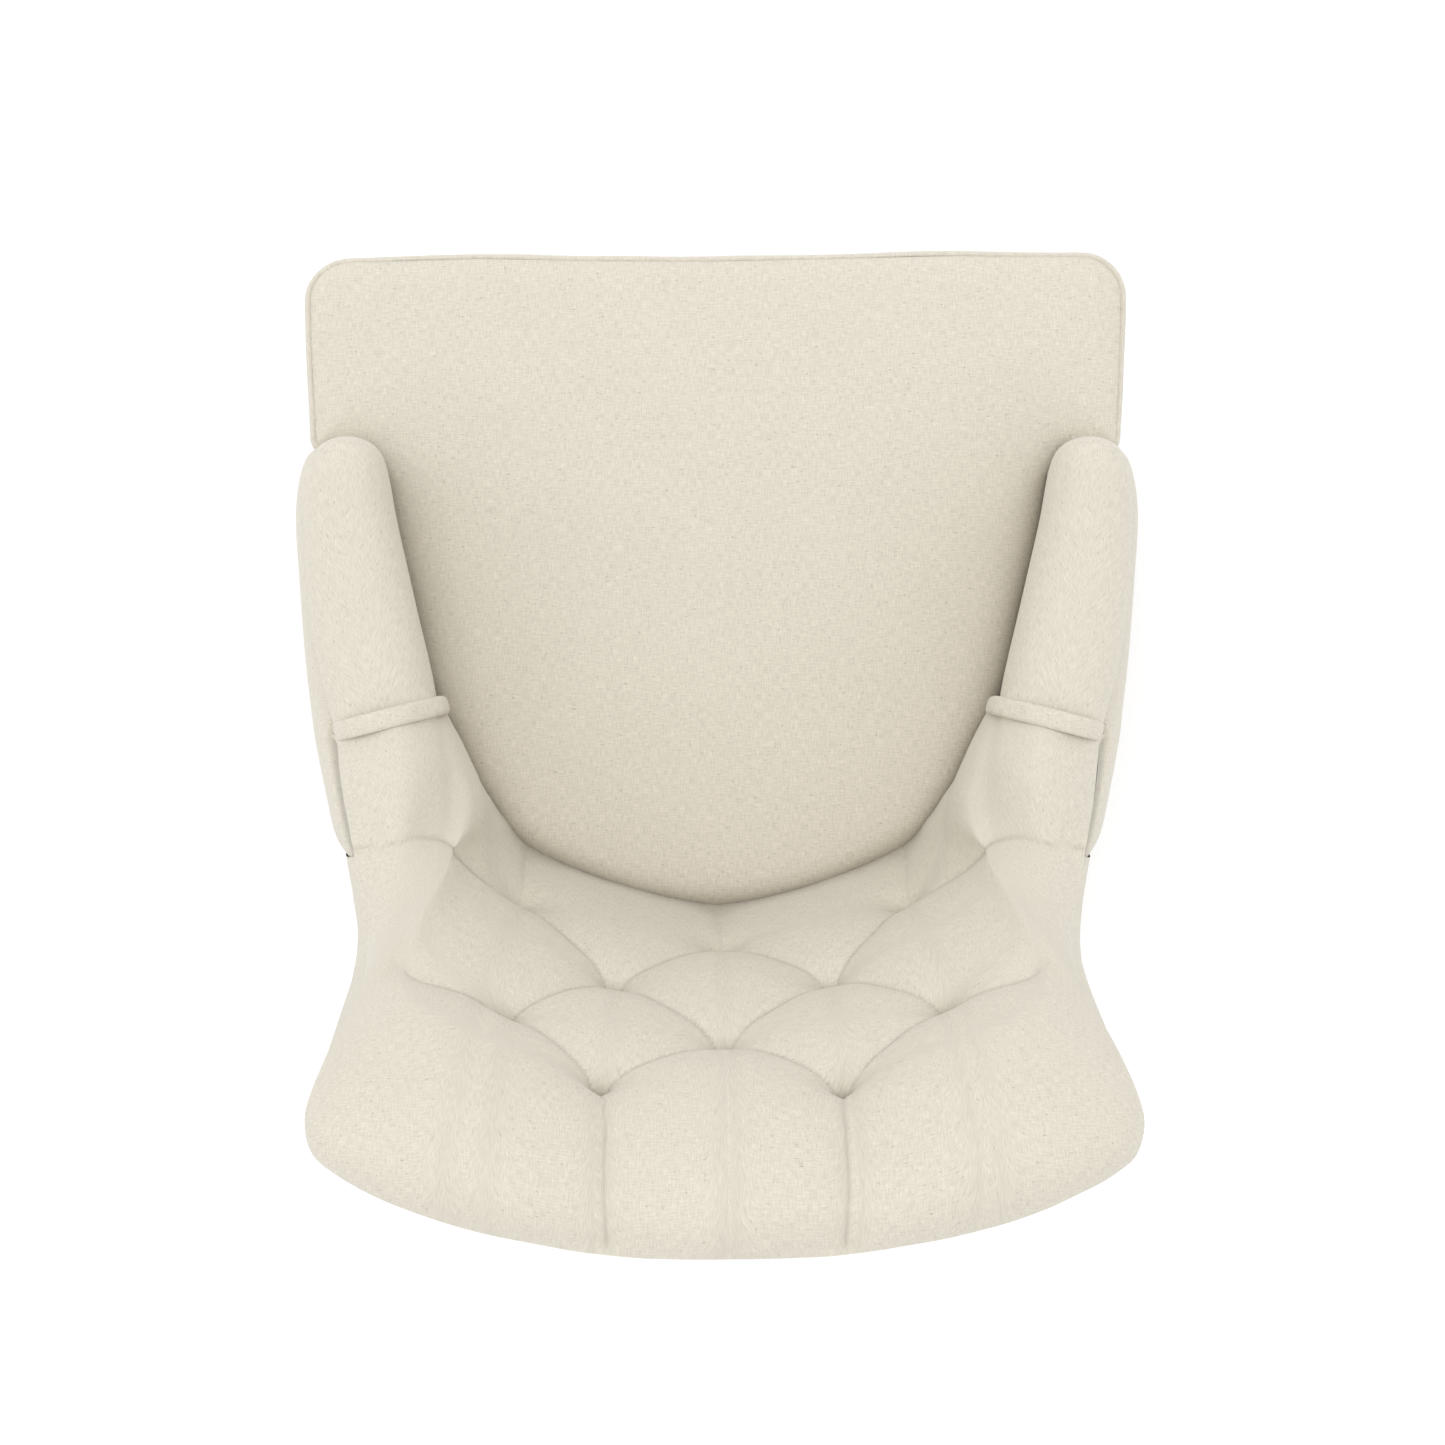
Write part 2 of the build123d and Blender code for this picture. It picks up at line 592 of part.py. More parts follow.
# ---------------------------------------------------------------- back padding and covers
def back_block(inner, side, outer, top):
    """The padded back as one solid, with its inner face, sides, outer face and top moved in by these amounts."""
    with BuildPart() as block:
        for height, inner_end, inner_mid, corner, flank, outer_end, outer_mid in BACK_SECTIONS:
            is_top = height == OVERALL_HEIGHT
            z = height - top if is_top else height
            ahead = inner * sin(radians(BAND_ANGLE))
            inner_x = inner_end[0] + inner * cos(radians(BAND_ANGLE))
            with BuildSketch(Plane.XY.offset(z)):
                with BuildLine():
                    points = (
                        (inner_x, inner_end[1] + ahead + side),
                        (corner[0] - side, corner[1] + side),
                        (flank[0] - side, flank[1]),
                        (outer_end[0] - side, outer_end[1] - outer),
                    )
                    far = [(-x, y) for x, y in points]
                    ThreePointArc(far[0], (0, inner_mid + inner), points[0])
                    Line(points[0], points[1])
                    ThreePointArc(points[1], points[2], points[3])
                    ThreePointArc(points[3], (0, outer_mid - outer), far[3])
                    ThreePointArc(far[3], far[2], far[1])
                    Line(far[1], far[0])
                make_face()
        loft(ruled=True)
    return block.part


def cavity_section(z):
    """Plan of the hollow that holds the back frame behind the foam, at a height."""
    front = 205 + 0.196 * (z - 410)
    radius = 375 + 0.565 * (z - 410)
    half = WING_X + WING_THICK + 2
    side = (half, arc_y(half, front, radius))
    with BuildSketch(Plane.XY.offset(z)) as section:
        with BuildLine():
            ThreePointArc((-side[0], side[1]), (0, front), side)
            Polyline(side, (half, 480), (-half, 480), (-side[0], side[1]))
        make_face()
    return section.sketch


with BuildPart() as frame_cavity:
    for cavity_z in (290.0, CREST_TOP + 6):
        add(cavity_section(cavity_z))
    loft(ruled=True)

def on_inner_back(x, z):
    """Y of the padded back's inner face at a place across and up it."""
    below, above = [
        (low, high) for low, high in zip(BACK_SECTIONS, BACK_SECTIONS[1:]) if low[0] <= z <= high[0]
    ][0]
    depths = []
    for section in (below, above):
        end_x, end_y = section[1]
        rise = section[2] - end_y
        depths.append(arc_y(x, section[2], (end_x**2 + rise**2) / (2 * rise)))
    return depths[0] + (depths[1] - depths[0]) * (z - below[0]) / (above[0] - below[0])


TUFT_DEPTH = 27.0  # how far a tuft pulls the cover in, where its twine starts
TWINE_RADIUS = 1.0
TWINE_HOLE_RADIUS = 1.6
TUFTS = [(column * TUFT_PITCH, row_z) for row_z, columns in TUFT_ROWS for column in columns]

with BuildPart() as twine_holes:
    for tuft_x, tuft_z in TUFTS:
        with BuildSketch(Plane(origin=(tuft_x, on_inner_back(tuft_x, tuft_z) + 1, tuft_z), z_dir=(0, 1, 0))):
            Circle(TWINE_HOLE_RADIUS)
        extrude(amount=110)

with BuildPart() as back_foam:
    add(back_block(CLOTH + GAP, CLOTH + GAP, GAP, CLOTH + GAP))
    add(frame_cavity.part, mode=Mode.SUBTRACT)
    for frame_piece in (left_of_post, left_wing_board.part, left_back_post.part):
        add(frame_piece, mode=Mode.SUBTRACT)
        add(mirrored(frame_piece), mode=Mode.SUBTRACT)
    add(crest_rail.part, mode=Mode.SUBTRACT)
    add(twine_holes.part, mode=Mode.SUBTRACT)
save("back_foam", back_foam.part)

with BuildPart() as back_inner_cover:
    add(back_block(0, 0, 0, 0))
    add(back_block(CLOTH, CLOTH, -1, CLOTH), mode=Mode.SUBTRACT)
    for arm_rail in (left_of_post, left_of_post.mirror(Plane.YZ)):
        add(arm_rail, mode=Mode.SUBTRACT)
save("back_inner_cover", back_inner_cover.part)

# The outer panel's foot has only the outer curve: its end and middle.
OUTER_FOOT = (LEG_HEIGHT + 3, None, None, None, None, (204.5, 186), 238)
with BuildPart() as outer_back_panel:
    for section in (OUTER_FOOT, *BACK_SECTIONS):
        with BuildSketch(Plane.XY.offset(section[0])):
            with BuildLine():
                end_x, end_y = section[5]
                mid_y = section[6]
                ThreePointArc((-end_x, end_y + GAP), (0, mid_y + GAP), (end_x, end_y + GAP))
                Line((end_x, end_y + GAP), (end_x, end_y + CLOTH))
                ThreePointArc((end_x, end_y + CLOTH), (0, mid_y + CLOTH), (-end_x, end_y + CLOTH))
                Line((-end_x, end_y + CLOTH), (-end_x, end_y + GAP))
            make_face()
    loft(ruled=True)
    add(back_foam.part, mode=Mode.SUBTRACT)
save("outer_back_panel", outer_back_panel.part)

# ---------------------------------------------------------------- webbing, tuft ties and toggles
STRAP_WIDTH = 48.0
STRAP_THICK = 1.6


def strap_plane(x, front_y, rail_radius, z):
    """The place on a curved rail's front face where a strap is stapled. The radius is the rail's outer one."""
    radius = rail_radius - CREST_THICK
    tilt = -x / sqrt(radius**2 - x**2)
    return Plane(origin=(x, arc_y(x, front_y, radius) - 2.0, z), x_dir=(1, tilt, 0), z_dir=(0, 0, 1))


with BuildPart() as back_webbing:
    for column in (-2, -1, 0, 1, 2):
        strap_x = column * TUFT_PITCH * 0.97
        with BuildSketch(strap_plane(strap_x, WEBBING_FOOT, LOWER_RAIL_RADIUS, LOWER_RAIL_BOTTOM + 5)):
            Rectangle(STRAP_WIDTH, STRAP_THICK)
        with BuildSketch(strap_plane(strap_x, CREST_FRONT, CREST_RADIUS, CREST_TOP - 5)):
            Rectangle(STRAP_WIDTH, STRAP_THICK)
        loft()
    add(twine_holes.part, mode=Mode.SUBTRACT)
save("back_webbing", back_webbing.part)


def webbing_y(x, z):
    """Y of the back of the webbing at a place across and up the back."""
    low = arc_y(x, WEBBING_FOOT, LOWER_RAIL_RADIUS - CREST_THICK)
    high = arc_y(x, CREST_FRONT, CREST_RADIUS - CREST_THICK)
    return low + (high - low) * (z - LOWER_RAIL_BOTTOM - 5) / (CREST_TOP - LOWER_RAIL_BOTTOM - 10)


TOGGLE_RADIUS = 3.0
TOGGLE_LENGTH = 16.0
TOGGLE_BACK = 8.0  # from the webbing to the toggle's middle
with BuildPart() as tuft_toggles:
    for tuft_x, tuft_z in TUFTS:
        with Locations(Location((tuft_x, webbing_y(tuft_x, tuft_z) + TOGGLE_BACK, tuft_z), (0, 90, 0))):
            Cylinder(TOGGLE_RADIUS, TOGGLE_LENGTH)
save("tuft_toggles", tuft_toggles.part)

with BuildPart() as tuft_twine:
    for tuft_x, tuft_z in TUFTS:
        start_y = on_inner_back(tuft_x, tuft_z) + TUFT_DEPTH
        end_y = webbing_y(tuft_x, tuft_z) + TOGGLE_BACK
        with BuildSketch(Plane(origin=(tuft_x, start_y, tuft_z), z_dir=(0, 1, 0))):
            Circle(TWINE_RADIUS)
        extrude(amount=end_y - start_y)
    add(tuft_toggles.part, mode=Mode.SUBTRACT)
save("tuft_twine", tuft_twine.part)

# The sides of the back below the padding, between the outer arm panels and the outer back panel.
with BuildPart() as left_back_side_panel:
    with BuildSketch(Plane.XY.offset(LEG_HEIGHT + 3)):
        with BuildLine():
            ThreePointArc((285, 100), (259, 150), (208, 186.4))
            Line((208, 186.4), (206.3, 184))
            ThreePointArc((206.3, 184), (256.6, 147.8), (282, 100))
            Line((282, 100), (285, 100))
        make_face()
    extrude(amount=300 - LEG_HEIGHT - 3 - GAP)
save_pair("back_side_panel", left_back_side_panel.part)

with BuildPart() as dust_cover:
    with BuildSketch(Plane.XY.offset(LEG_HEIGHT - 1.2)):
        Polygon(
            (315, -352), (-315, -352), (-256, 140), (-170, 195), (170, 195), (256, 140), align=None
        )
        for leg_x, leg_y in LEG_PLACES:
            with Locations((leg_x, leg_y), (-leg_x, leg_y)):
                Rectangle(LEG_TOP_SIZE + 4, LEG_TOP_SIZE + 4, mode=Mode.SUBTRACT)
    extrude(amount=1.0)
save("dust_cover", dust_cover.part)
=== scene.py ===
"""The upholstered armchair's visual model, on the frame that was packed from the CAD. Units are metres."""

import json
import math

import bpy
import numpy as np
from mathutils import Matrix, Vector


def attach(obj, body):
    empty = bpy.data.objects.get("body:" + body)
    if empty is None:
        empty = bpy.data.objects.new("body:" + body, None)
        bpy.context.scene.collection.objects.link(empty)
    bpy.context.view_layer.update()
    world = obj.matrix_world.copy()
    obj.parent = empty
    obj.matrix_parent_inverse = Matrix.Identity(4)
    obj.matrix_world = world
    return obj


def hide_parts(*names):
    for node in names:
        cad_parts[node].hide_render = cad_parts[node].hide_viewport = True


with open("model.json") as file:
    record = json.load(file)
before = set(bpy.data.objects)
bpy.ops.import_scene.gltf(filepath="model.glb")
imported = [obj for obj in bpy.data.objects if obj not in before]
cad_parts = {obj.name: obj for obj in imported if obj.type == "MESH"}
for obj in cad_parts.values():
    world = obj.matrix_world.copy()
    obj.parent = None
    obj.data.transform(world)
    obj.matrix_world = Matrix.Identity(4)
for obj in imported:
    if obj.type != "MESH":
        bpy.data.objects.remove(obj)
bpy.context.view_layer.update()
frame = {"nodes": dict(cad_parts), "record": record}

MM = 0.001
LEFT, RIGHT = 1, -1
SIDE_NAMES = {LEFT: "left", RIGHT: "right"}


# ---------------------------------------------------------------- curves and grids
def natural_spline(keys, values, at):
    """A natural cubic spline through values at keys, read at other places. values may be points."""
    keys, values, at = np.asarray(keys, float), np.asarray(values, float), np.asarray(at, float)
    flat = values.reshape(len(keys), -1)
    step = np.diff(keys)
    count = len(keys)
    system = np.eye(count)
    right = np.zeros((count, flat.shape[1]))
    for i in range(1, count - 1):
        system[i, i - 1 : i + 2] = step[i - 1], 2 * (step[i - 1] + step[i]), step[i]
        right[i] = 6 * ((flat[i + 1] - flat[i]) / step[i] - (flat[i] - flat[i - 1]) / step[i - 1])
    bend = np.linalg.solve(system, right)
    i = np.clip(np.searchsorted(keys, at) - 1, 0, count - 2)
    h = step[i][:, None]
    a = (keys[i + 1] - at)[:, None] / h
    b = (at - keys[i])[:, None] / h
    out = a * flat[i] + b * flat[i + 1] + ((a**3 - a) * bend[i] + (b**3 - b) * bend[i + 1]) * h**2 / 6
    return out.reshape((len(at),) + values.shape[1:])


def chord_keys(points):
    """Spline keys in proportion to the distances between points, from 0 to 1."""
    lengths = np.linalg.norm(np.diff(np.asarray(points, float), axis=0), axis=1)
    keys = np.concatenate([[0], np.cumsum(lengths)])
    return keys / keys[-1]


def resample(points, count):
    """The same line as evenly spaced points."""
    keys, places = chord_keys(points), np.linspace(0, 1, count)
    return np.stack([np.interp(places, keys, values) for values in points.T], 1)


def curve_through(points, count):
    """count points evenly spaced along a smooth curve through the given points."""
    points = np.asarray(points, float)
    steps = 40 * len(points)
    return resample(natural_spline(chord_keys(points), points, np.linspace(0, 1, steps)), count)


def grid_normals(grid):
    """Unit normals of a grid of points."""
    along = np.gradient(grid, axis=0)
    across = np.gradient(grid, axis=1)
    normal = np.cross(along, across)
    return normal / np.maximum(np.linalg.norm(normal, axis=2, keepdims=True), 1e-12)


def grid_uv(grid):
    """Distances along and across a grid from its middle row, in metres, so that a weave keeps its scale."""
    along = np.linalg.norm(np.diff(grid, axis=0), axis=2)
    across = np.linalg.norm(np.diff(grid, axis=1), axis=2)
    u = np.concatenate([np.zeros((1, grid.shape[1])), np.cumsum(along, axis=0)])
    v = np.concatenate([np.zeros((grid.shape[0], 1)), np.cumsum(across, axis=1)], axis=1)
    return np.stack([u - u[len(u) // 2], v], 2)


def smooth_noise(points, scale, seed):
    """Smooth repeatable noise between about -1 and 1, with features of about the given size."""
    waves = 7
    rng = np.random.default_rng(seed)
    total = np.zeros(points.shape[:-1])
    for _ in range(waves):
        direction = rng.normal(size=3)
        direction /= np.linalg.norm(direction)
        wave = 2 * math.pi / scale * rng.uniform(0.6, 1.5)
        total += np.sin(points @ direction * wave + rng.uniform(0, 6.28))
    return total / (waves / 2)


def grid_object(name, grid, surface, uv=None, painted_shade=None, close_along=False, flip=False):
    """A smooth mesh from a grid of points, with UVs in metres and an attribute of painted shade that darkens
    its cloth.
    """
    rows, columns = grid.shape[:2]
    last_row = rows if close_along else rows - 1
    i, j = np.meshgrid(np.arange(last_row), np.arange(columns - 1), indexing="ij")
    this_row, next_row = i * columns + j, (i + 1) % rows * columns + j
    quads = np.stack([this_row, next_row, next_row + 1, this_row + 1], -1).reshape(-1, 4)
    if flip:
        quads = quads[:, ::-1]
    mesh = bpy.data.meshes.new(name)
    mesh.from_pydata(grid.reshape(-1, 3).tolist(), [], quads.tolist())
    mesh.update()
    uv = grid_uv(grid) if uv is None else uv
    layer = mesh.uv_layers.new(name="Cloth")
    corner = np.empty(len(mesh.loops), dtype=np.int32)
    mesh.loops.foreach_get("vertex_index", corner)
    layer.data.foreach_set("uv", uv.reshape(-1, 2)[corner].astype(np.float32).ravel())
    # the mesh's painted shade, one value per point
    attribute = mesh.attributes.new("painted_shade", "FLOAT", "POINT")
    values = np.zeros(rows * columns) if painted_shade is None else painted_shade.reshape(-1)
    attribute.data.foreach_set("value", values.astype(np.float32))
    mesh.polygons.foreach_set("use_smooth", np.ones(len(mesh.polygons), dtype=bool))
    mesh.materials.append(surface)
    piece = bpy.data.objects.new(name, mesh)
    bpy.context.scene.collection.objects.link(piece)
    return piece


def mirror_grid(grid, side):
    """The grid on the sitter's left or right. Grids are written for the left."""
    return grid * np.array([side, 1, 1])


# ---------------------------------------------------------------- materials
def material(name, roughness, color):
    """A plain node material, its node tree and its shader."""
    made = bpy.data.materials.new(name)
    made.use_nodes = True
    shader = made.node_tree.nodes["Principled BSDF"]
    shader.inputs["Base Color"].default_value = (*color, 1)
    shader.inputs["Roughness"].default_value = roughness
    return made, made.node_tree, shader


def connect(tree, source, target):
    tree.links.new(source, target)


def math_node(tree, operation, first, second=None):
    """A math node whose inputs are sockets or numbers."""
    node = tree.nodes.new("ShaderNodeMath")
    node.operation = operation
    for index, value in enumerate((first, second)):
        if value is None:
            continue
        if isinstance(value, (int, float)):
            node.inputs[index].default_value = value
        else:
            connect(tree, value, node.inputs[index])
    return node.outputs[0]


def stretched_noise(tree, coordinates, stretch, scale, detail=2.0, roughness=0.5):
    """Noise drawn out along one thread direction."""
    mapping = tree.nodes.new("ShaderNodeMapping")
    mapping.inputs["Scale"].default_value = (*stretch, 1)
    connect(tree, coordinates, mapping.inputs["Vector"])
    noise = tree.nodes.new("ShaderNodeTexNoise")
    noise.inputs["Scale"].default_value = scale
    noise.inputs["Detail"].default_value = detail
    noise.inputs["Roughness"].default_value = roughness
    connect(tree, mapping.outputs["Vector"], noise.inputs["Vector"])
    return noise.outputs[0]


def scaled_color(tree, color, brightness):
    """A colour made brighter or darker by a socket's value."""
    node = tree.nodes.new("ShaderNodeVectorMath")
    node.operation = "SCALE"
    node.inputs[0].default_value = color
    connect(tree, brightness, node.inputs["Scale"])
    return node.outputs[0]


def add_bump(tree, shader, height, strength, distance):
    """Small relief on the surface, from a socket's value."""
    bump = tree.nodes.new("ShaderNodeBump")
    bump.inputs["Strength"].default_value = strength
    bump.inputs["Distance"].default_value = distance
    connect(tree, height, bump.inputs["Height"])
    connect(tree, bump.outputs["Normal"], shader.inputs["Normal"])


THREAD = 0.0008  # from one thread to the next
SLUBS = (1000, 130)  # thick places in the threads: how many per metre across and along the thread
CLOUDS = (14, 14)
FLECKS = (260, 520)
SLUB_SHADE, CLOUD_SHADE, FLECK_SHADE = 0.40, 0.05, 0.22
FLECK_LEVEL = 0.78  # the higher, the fewer flecks
WEAVE_HEIGHT = 0.25  # beside the slubs
PAINTED_SHADE_LEVEL = 0.16  # how bright the cloth is where its painted shade is full


def linen(name, color):
    """Plain-weave linen: fine threads, long slubs both ways, sparse flecks, and painted shade in its creases,
    pleats and seams.
    """
    made, tree, shader = material(name, 0.92, color)
    shader.inputs["Sheen Weight"].default_value = 0.18
    shader.inputs["Sheen Roughness"].default_value = 0.5
    shader.inputs["Specular IOR Level"].default_value = 0.2
    uv = tree.nodes.new("ShaderNodeUVMap")
    uv.uv_map = "Cloth"
    place = uv.outputs["UV"]
    warp = stretched_noise(tree, place, SLUBS, 1.0)
    weft = stretched_noise(tree, place, SLUBS[::-1], 1.0)
    cloudy = stretched_noise(tree, place, CLOUDS, 1.0, 3.0)
    slubs = math_node(tree, "ADD", warp, weft)
    # the brightness is about 1: slubs and slow unevenness round it, then flecks below it
    shade = math_node(tree, "MULTIPLY", math_node(tree, "SUBTRACT", slubs, 1.0), SLUB_SHADE)
    slow = math_node(tree, "MULTIPLY", math_node(tree, "SUBTRACT", cloudy, 0.5), CLOUD_SHADE)
    bright = math_node(tree, "ADD", math_node(tree, "ADD", shade, slow), 1.0)
    fleck_noise = stretched_noise(tree, place, FLECKS, 1.0, 0.0)
    is_fleck = math_node(tree, "GREATER_THAN", fleck_noise, FLECK_LEVEL)
    bright = math_node(tree, "SUBTRACT", bright, math_node(tree, "MULTIPLY", is_fleck, FLECK_SHADE))
    # painted shade: the cloth mixes towards a darker, warmer colour as far as the mesh's shade attribute says
    painted_shade = tree.nodes.new("ShaderNodeAttribute")
    painted_shade.attribute_name = "painted_shade"
    shaded = tree.nodes.new("ShaderNodeMix")
    shaded.data_type = "RGBA"
    shaded.inputs["B"].default_value = (*(PAINTED_SHADE_LEVEL * c**0.5 * c for c in color), 1)
    connect(tree, painted_shade.outputs["Fac"], shaded.inputs["Factor"])
    connect(tree, scaled_color(tree, color, bright), shaded.inputs["A"])
    connect(tree, shaded.outputs["Result"], shader.inputs["Base Color"])
    # the weave itself, as crossed ridges under the slubs
    split = tree.nodes.new("ShaderNodeSeparateXYZ")
    connect(tree, place, split.inputs[0])
    ridge = 2 * math.pi / THREAD
    across = math_node(tree, "SINE", math_node(tree, "MULTIPLY", split.outputs[0], ridge))
    along = math_node(tree, "SINE", math_node(tree, "MULTIPLY", split.outputs[1], ridge))
    weave = math_node(tree, "MULTIPLY", math_node(tree, "MULTIPLY", across, along), WEAVE_HEIGHT)
    add_bump(tree, shader, math_node(tree, "ADD", weave, slubs), 0.35, 0.0004)
    return made


def mottled(name, color, roughness, size, amount, depth):
    """A slightly uneven surface, for parts with no weave or grain of their own. size is in metres."""
    made, tree, shader = material(name, roughness, color)
    coordinates = tree.nodes.new("ShaderNodeTexCoord")
    noise = stretched_noise(tree, coordinates.outputs["Object"], (1 / size, 1 / size), 1.0, 4.0, 0.6)
    shade = math_node(tree, "MULTIPLY", math_node(tree, "SUBTRACT", noise, 0.5), amount)
    bright = math_node(tree, "ADD", shade, 1.0)
    connect(tree, scaled_color(tree, color, bright), shader.inputs["Base Color"])
    add_bump(tree, shader, noise, 0.5, depth)
    return made


def wood(name, dark, light, roughness):
    """Stained wood with grain running up the piece."""
    made, tree, shader = material(name, roughness, dark)
    coordinates = tree.nodes.new("ShaderNodeTexCoord")
    grain = tree.nodes.new("ShaderNodeMapping")
    grain.inputs["Scale"].default_value = (90, 90, 5)
    connect(tree, coordinates.outputs["Object"], grain.inputs["Vector"])
    noise = tree.nodes.new("ShaderNodeTexNoise")
    noise.inputs["Scale"].default_value = 1.0
    noise.inputs["Detail"].default_value = 6
    connect(tree, grain.outputs["Vector"], noise.inputs["Vector"])
    ramp = tree.nodes.new("ShaderNodeValToRGB")
    ramp.color_ramp.elements[0].position = 0.35
    ramp.color_ramp.elements[0].color = (*dark, 1)
    ramp.color_ramp.elements[1].position = 0.7
    ramp.color_ramp.elements[1].color = (*light, 1)
    connect(tree, noise.outputs[0], ramp.inputs["Fac"])
    connect(tree, ramp.outputs["Color"], shader.inputs["Base Color"])
    return made


COVER = linen("cover_cloth", (0.605, 0.567, 0.484))
NODE_MATERIALS = {
    "cover_cloth": COVER,
    "foam": mottled("foam", (0.78, 0.70, 0.42), 0.95, 0.002, 0.3, 0.0008),
    "leg_wood": wood("leg_wood", (0.016, 0.008, 0.005), (0.045, 0.021, 0.011), 0.32),
    "frame_wood": wood("frame_wood", (0.45, 0.30, 0.15), (0.62, 0.44, 0.25), 0.7),
    "lining_cloth": mottled("lining_cloth", (0.012, 0.012, 0.012), 0.95, 0.0015, 0.9, 0.0003),
    "webbing": mottled("webbing", (0.30, 0.20, 0.10), 0.9, 0.002, 0.5, 0.0004),
    "twine": mottled("twine", (0.6, 0.55, 0.42), 0.8, 0.001, 0.4, 0.0002),
    "spring_steel": mottled("spring_steel", (0.35, 0.35, 0.37), 0.35, 0.004, 0.2, 0.00005),
    "glide_plastic": mottled("glide_plastic", (0.02, 0.02, 0.02), 0.5, 0.003, 0.3, 0.0001),
    "toggle_plastic": mottled("toggle_plastic", (0.7, 0.7, 0.66), 0.5, 0.003, 0.1, 0.0001),
}
NODE_MATERIALS["spring_steel"].node_tree.nodes["Principled BSDF"].inputs["Metallic"].default_value = 1.0
for part in frame["record"]["subparts"]:
    data = frame["nodes"][part["node"]].data
    data.materials.clear()
    data.materials.append(NODE_MATERIALS[part["material_slot"]])


# ---------------------------------------------------------------- the tub: inside back, wings and arm ends
# Each station is a profile on the sitter's left: tucked bottom, lower, upper, inner shoulder, top and seam.
# They run from the middle of the back, round the wing tip and the waist, to the band on the arm, in mm.
STATIONS = (
    ((0, 164, 440), (0, 183, 590), (0, 232, 770), (0, 293, 903), (0, 344, 940), (0, 384, 922)),
    ((60, 155, 440), (62, 178, 590), (66, 229, 770), (70, 290, 902), (70, 341, 939), (70, 382, 921)),
    ((112, 137, 440), (122, 160, 590), (135, 216, 770), (142, 279, 897), (146, 330, 934), (145, 372, 915)),
    ((144, 120, 440), (162, 141, 590), (190, 195, 765), (209, 258, 880), (221, 311, 916), (219, 353, 904)),
    ((160, 110, 440), (175, 127, 590), (213, 179, 748), (245, 243, 848), (274, 296, 886), (271, 334, 880)),
    ((168, 101, 440), (180, 114, 588), (220, 159, 724), (258, 223, 805), (290, 276, 844), (299, 312, 842)),
    ((180, 90, 440), (181, 98, 585), (212, 133, 681), (244, 180, 742), (270, 219, 770), (284, 250, 757)),
    ((192, 76, 440), (183, 81, 577), (203, 105, 644), (229, 137, 687), (254, 163, 705), (275, 185, 688)),
    ((205, 60, 440), (190, 61, 571), (203, 75, 621), (225, 92, 653), (252, 107, 665), (288, 119, 641)),
    ((217, 34, 440), (203, 34, 563), (210, 42, 612), (228, 53, 642), (256, 66, 652), (297, 78, 624)),
    ((230, 9, 440), (219, 6, 548), (222, 7, 594), (235, 11, 623), (261, 18, 634), (306, 28, 603)),
)
UPPER = 2  # the stations are spaced by that point of theirs
ACROSS_KEYS = (0.0, 0.25, 0.56, 0.79, 0.90, 1.0)  # where the six points stand across every profile
ALONG, ACROSS = 460, 250  # the grid's points
MIDDLE = len(STATIONS) - 1  # the middle of the back among the stations of both sides

left_stations = np.array(STATIONS, float) * MM
stations = np.concatenate([left_stations[:0:-1] * [-1, 1, 1], left_stations])
station_keys = chord_keys(stations[:, UPPER])
along_keys = np.linspace(0, 1, ALONG)
profiles = natural_spline(ACROSS_KEYS, np.moveaxis(stations, 1, 0), np.linspace(0, 1, ACROSS))
base = natural_spline(station_keys, np.moveaxis(profiles, 1, 0), along_keys)
tub_normal = grid_normals(base)
if tub_normal[ALONG // 2, ACROSS // 3, 1] > 0:  # it has to point at the sitter
    tub_normal = -tub_normal
LINE_STEPS = 240  # places along a pleat


def nearest(point):
    """Grid place of the tub surface nearest to a point given in millimetres."""
    distance = np.linalg.norm(base - np.array(point) * MM, axis=2)
    return np.unravel_index(distance.argmin(), distance.shape)


def tub_line(points):
    """Grid places along a line through the places nearest to the points, straight if there are only two."""
    places = np.array([nearest(p) for p in points], float)
    keys, at = chord_keys(places), np.linspace(0, 1, LINE_STEPS)
    if len(places) > 2:
        return np.clip(natural_spline(keys, places, at), 0, [ALONG - 1, ACROSS - 1])
    return np.stack([np.interp(at, keys, places[:, i]) for i in (0, 1)], 1)


# Tufts as (across, height), with each one's depth found on the surface. Hand tufting is a little uneven.
TUFT_ROWS = {
    1: ((-82, 843), (85, 841)),
    2: ((-156, 760), (-2, 768), (150, 768)),
    3: ((-79, 671), (76, 673)),
    4: ((-142, 557), (-2, 571), (147, 570)),
}


INNER_SHARE = 0.8  # of every profile, before it turns over the top


def on_back(x, z):
    """The point of the tub's inner face at a place across and up it, in millimetres."""
    inner = base[:, : int(ACROSS * INNER_SHARE)]
    off = (inner[..., 0] - x * MM) ** 2 + (inner[..., 2] - z * MM) ** 2
    i, j = np.unravel_index(off.argmin(), off.shape)
    return tuple(inner[i, j] / MM)


# The pleats from the outer tufts round the wing to the rear seam, as (station, way across the profile).
UPPER_SIDE_PLEAT = ((2.9, 0.572), (3.4, 0.595), (4.4, 0.65), (5.6, 0.76))
LOWER_SIDE_PLEAT = ((3.8, 0.27), (5.3, 0.35), (6.7, 0.50), (7.6, 0.72), (8.0, 0.87), (8.1, 1.0))


def station_place(station, across):
    """The tub's point at a station, counted from the middle of the back, and a way across its profile."""
    key = np.interp(station, np.arange(-MIDDLE, MIDDLE + 1), station_keys)
    i, j = int(round(key * (ALONG - 1))), int(round(across * (ACROSS - 1)))
    return tuple(base[i, j] / MM)


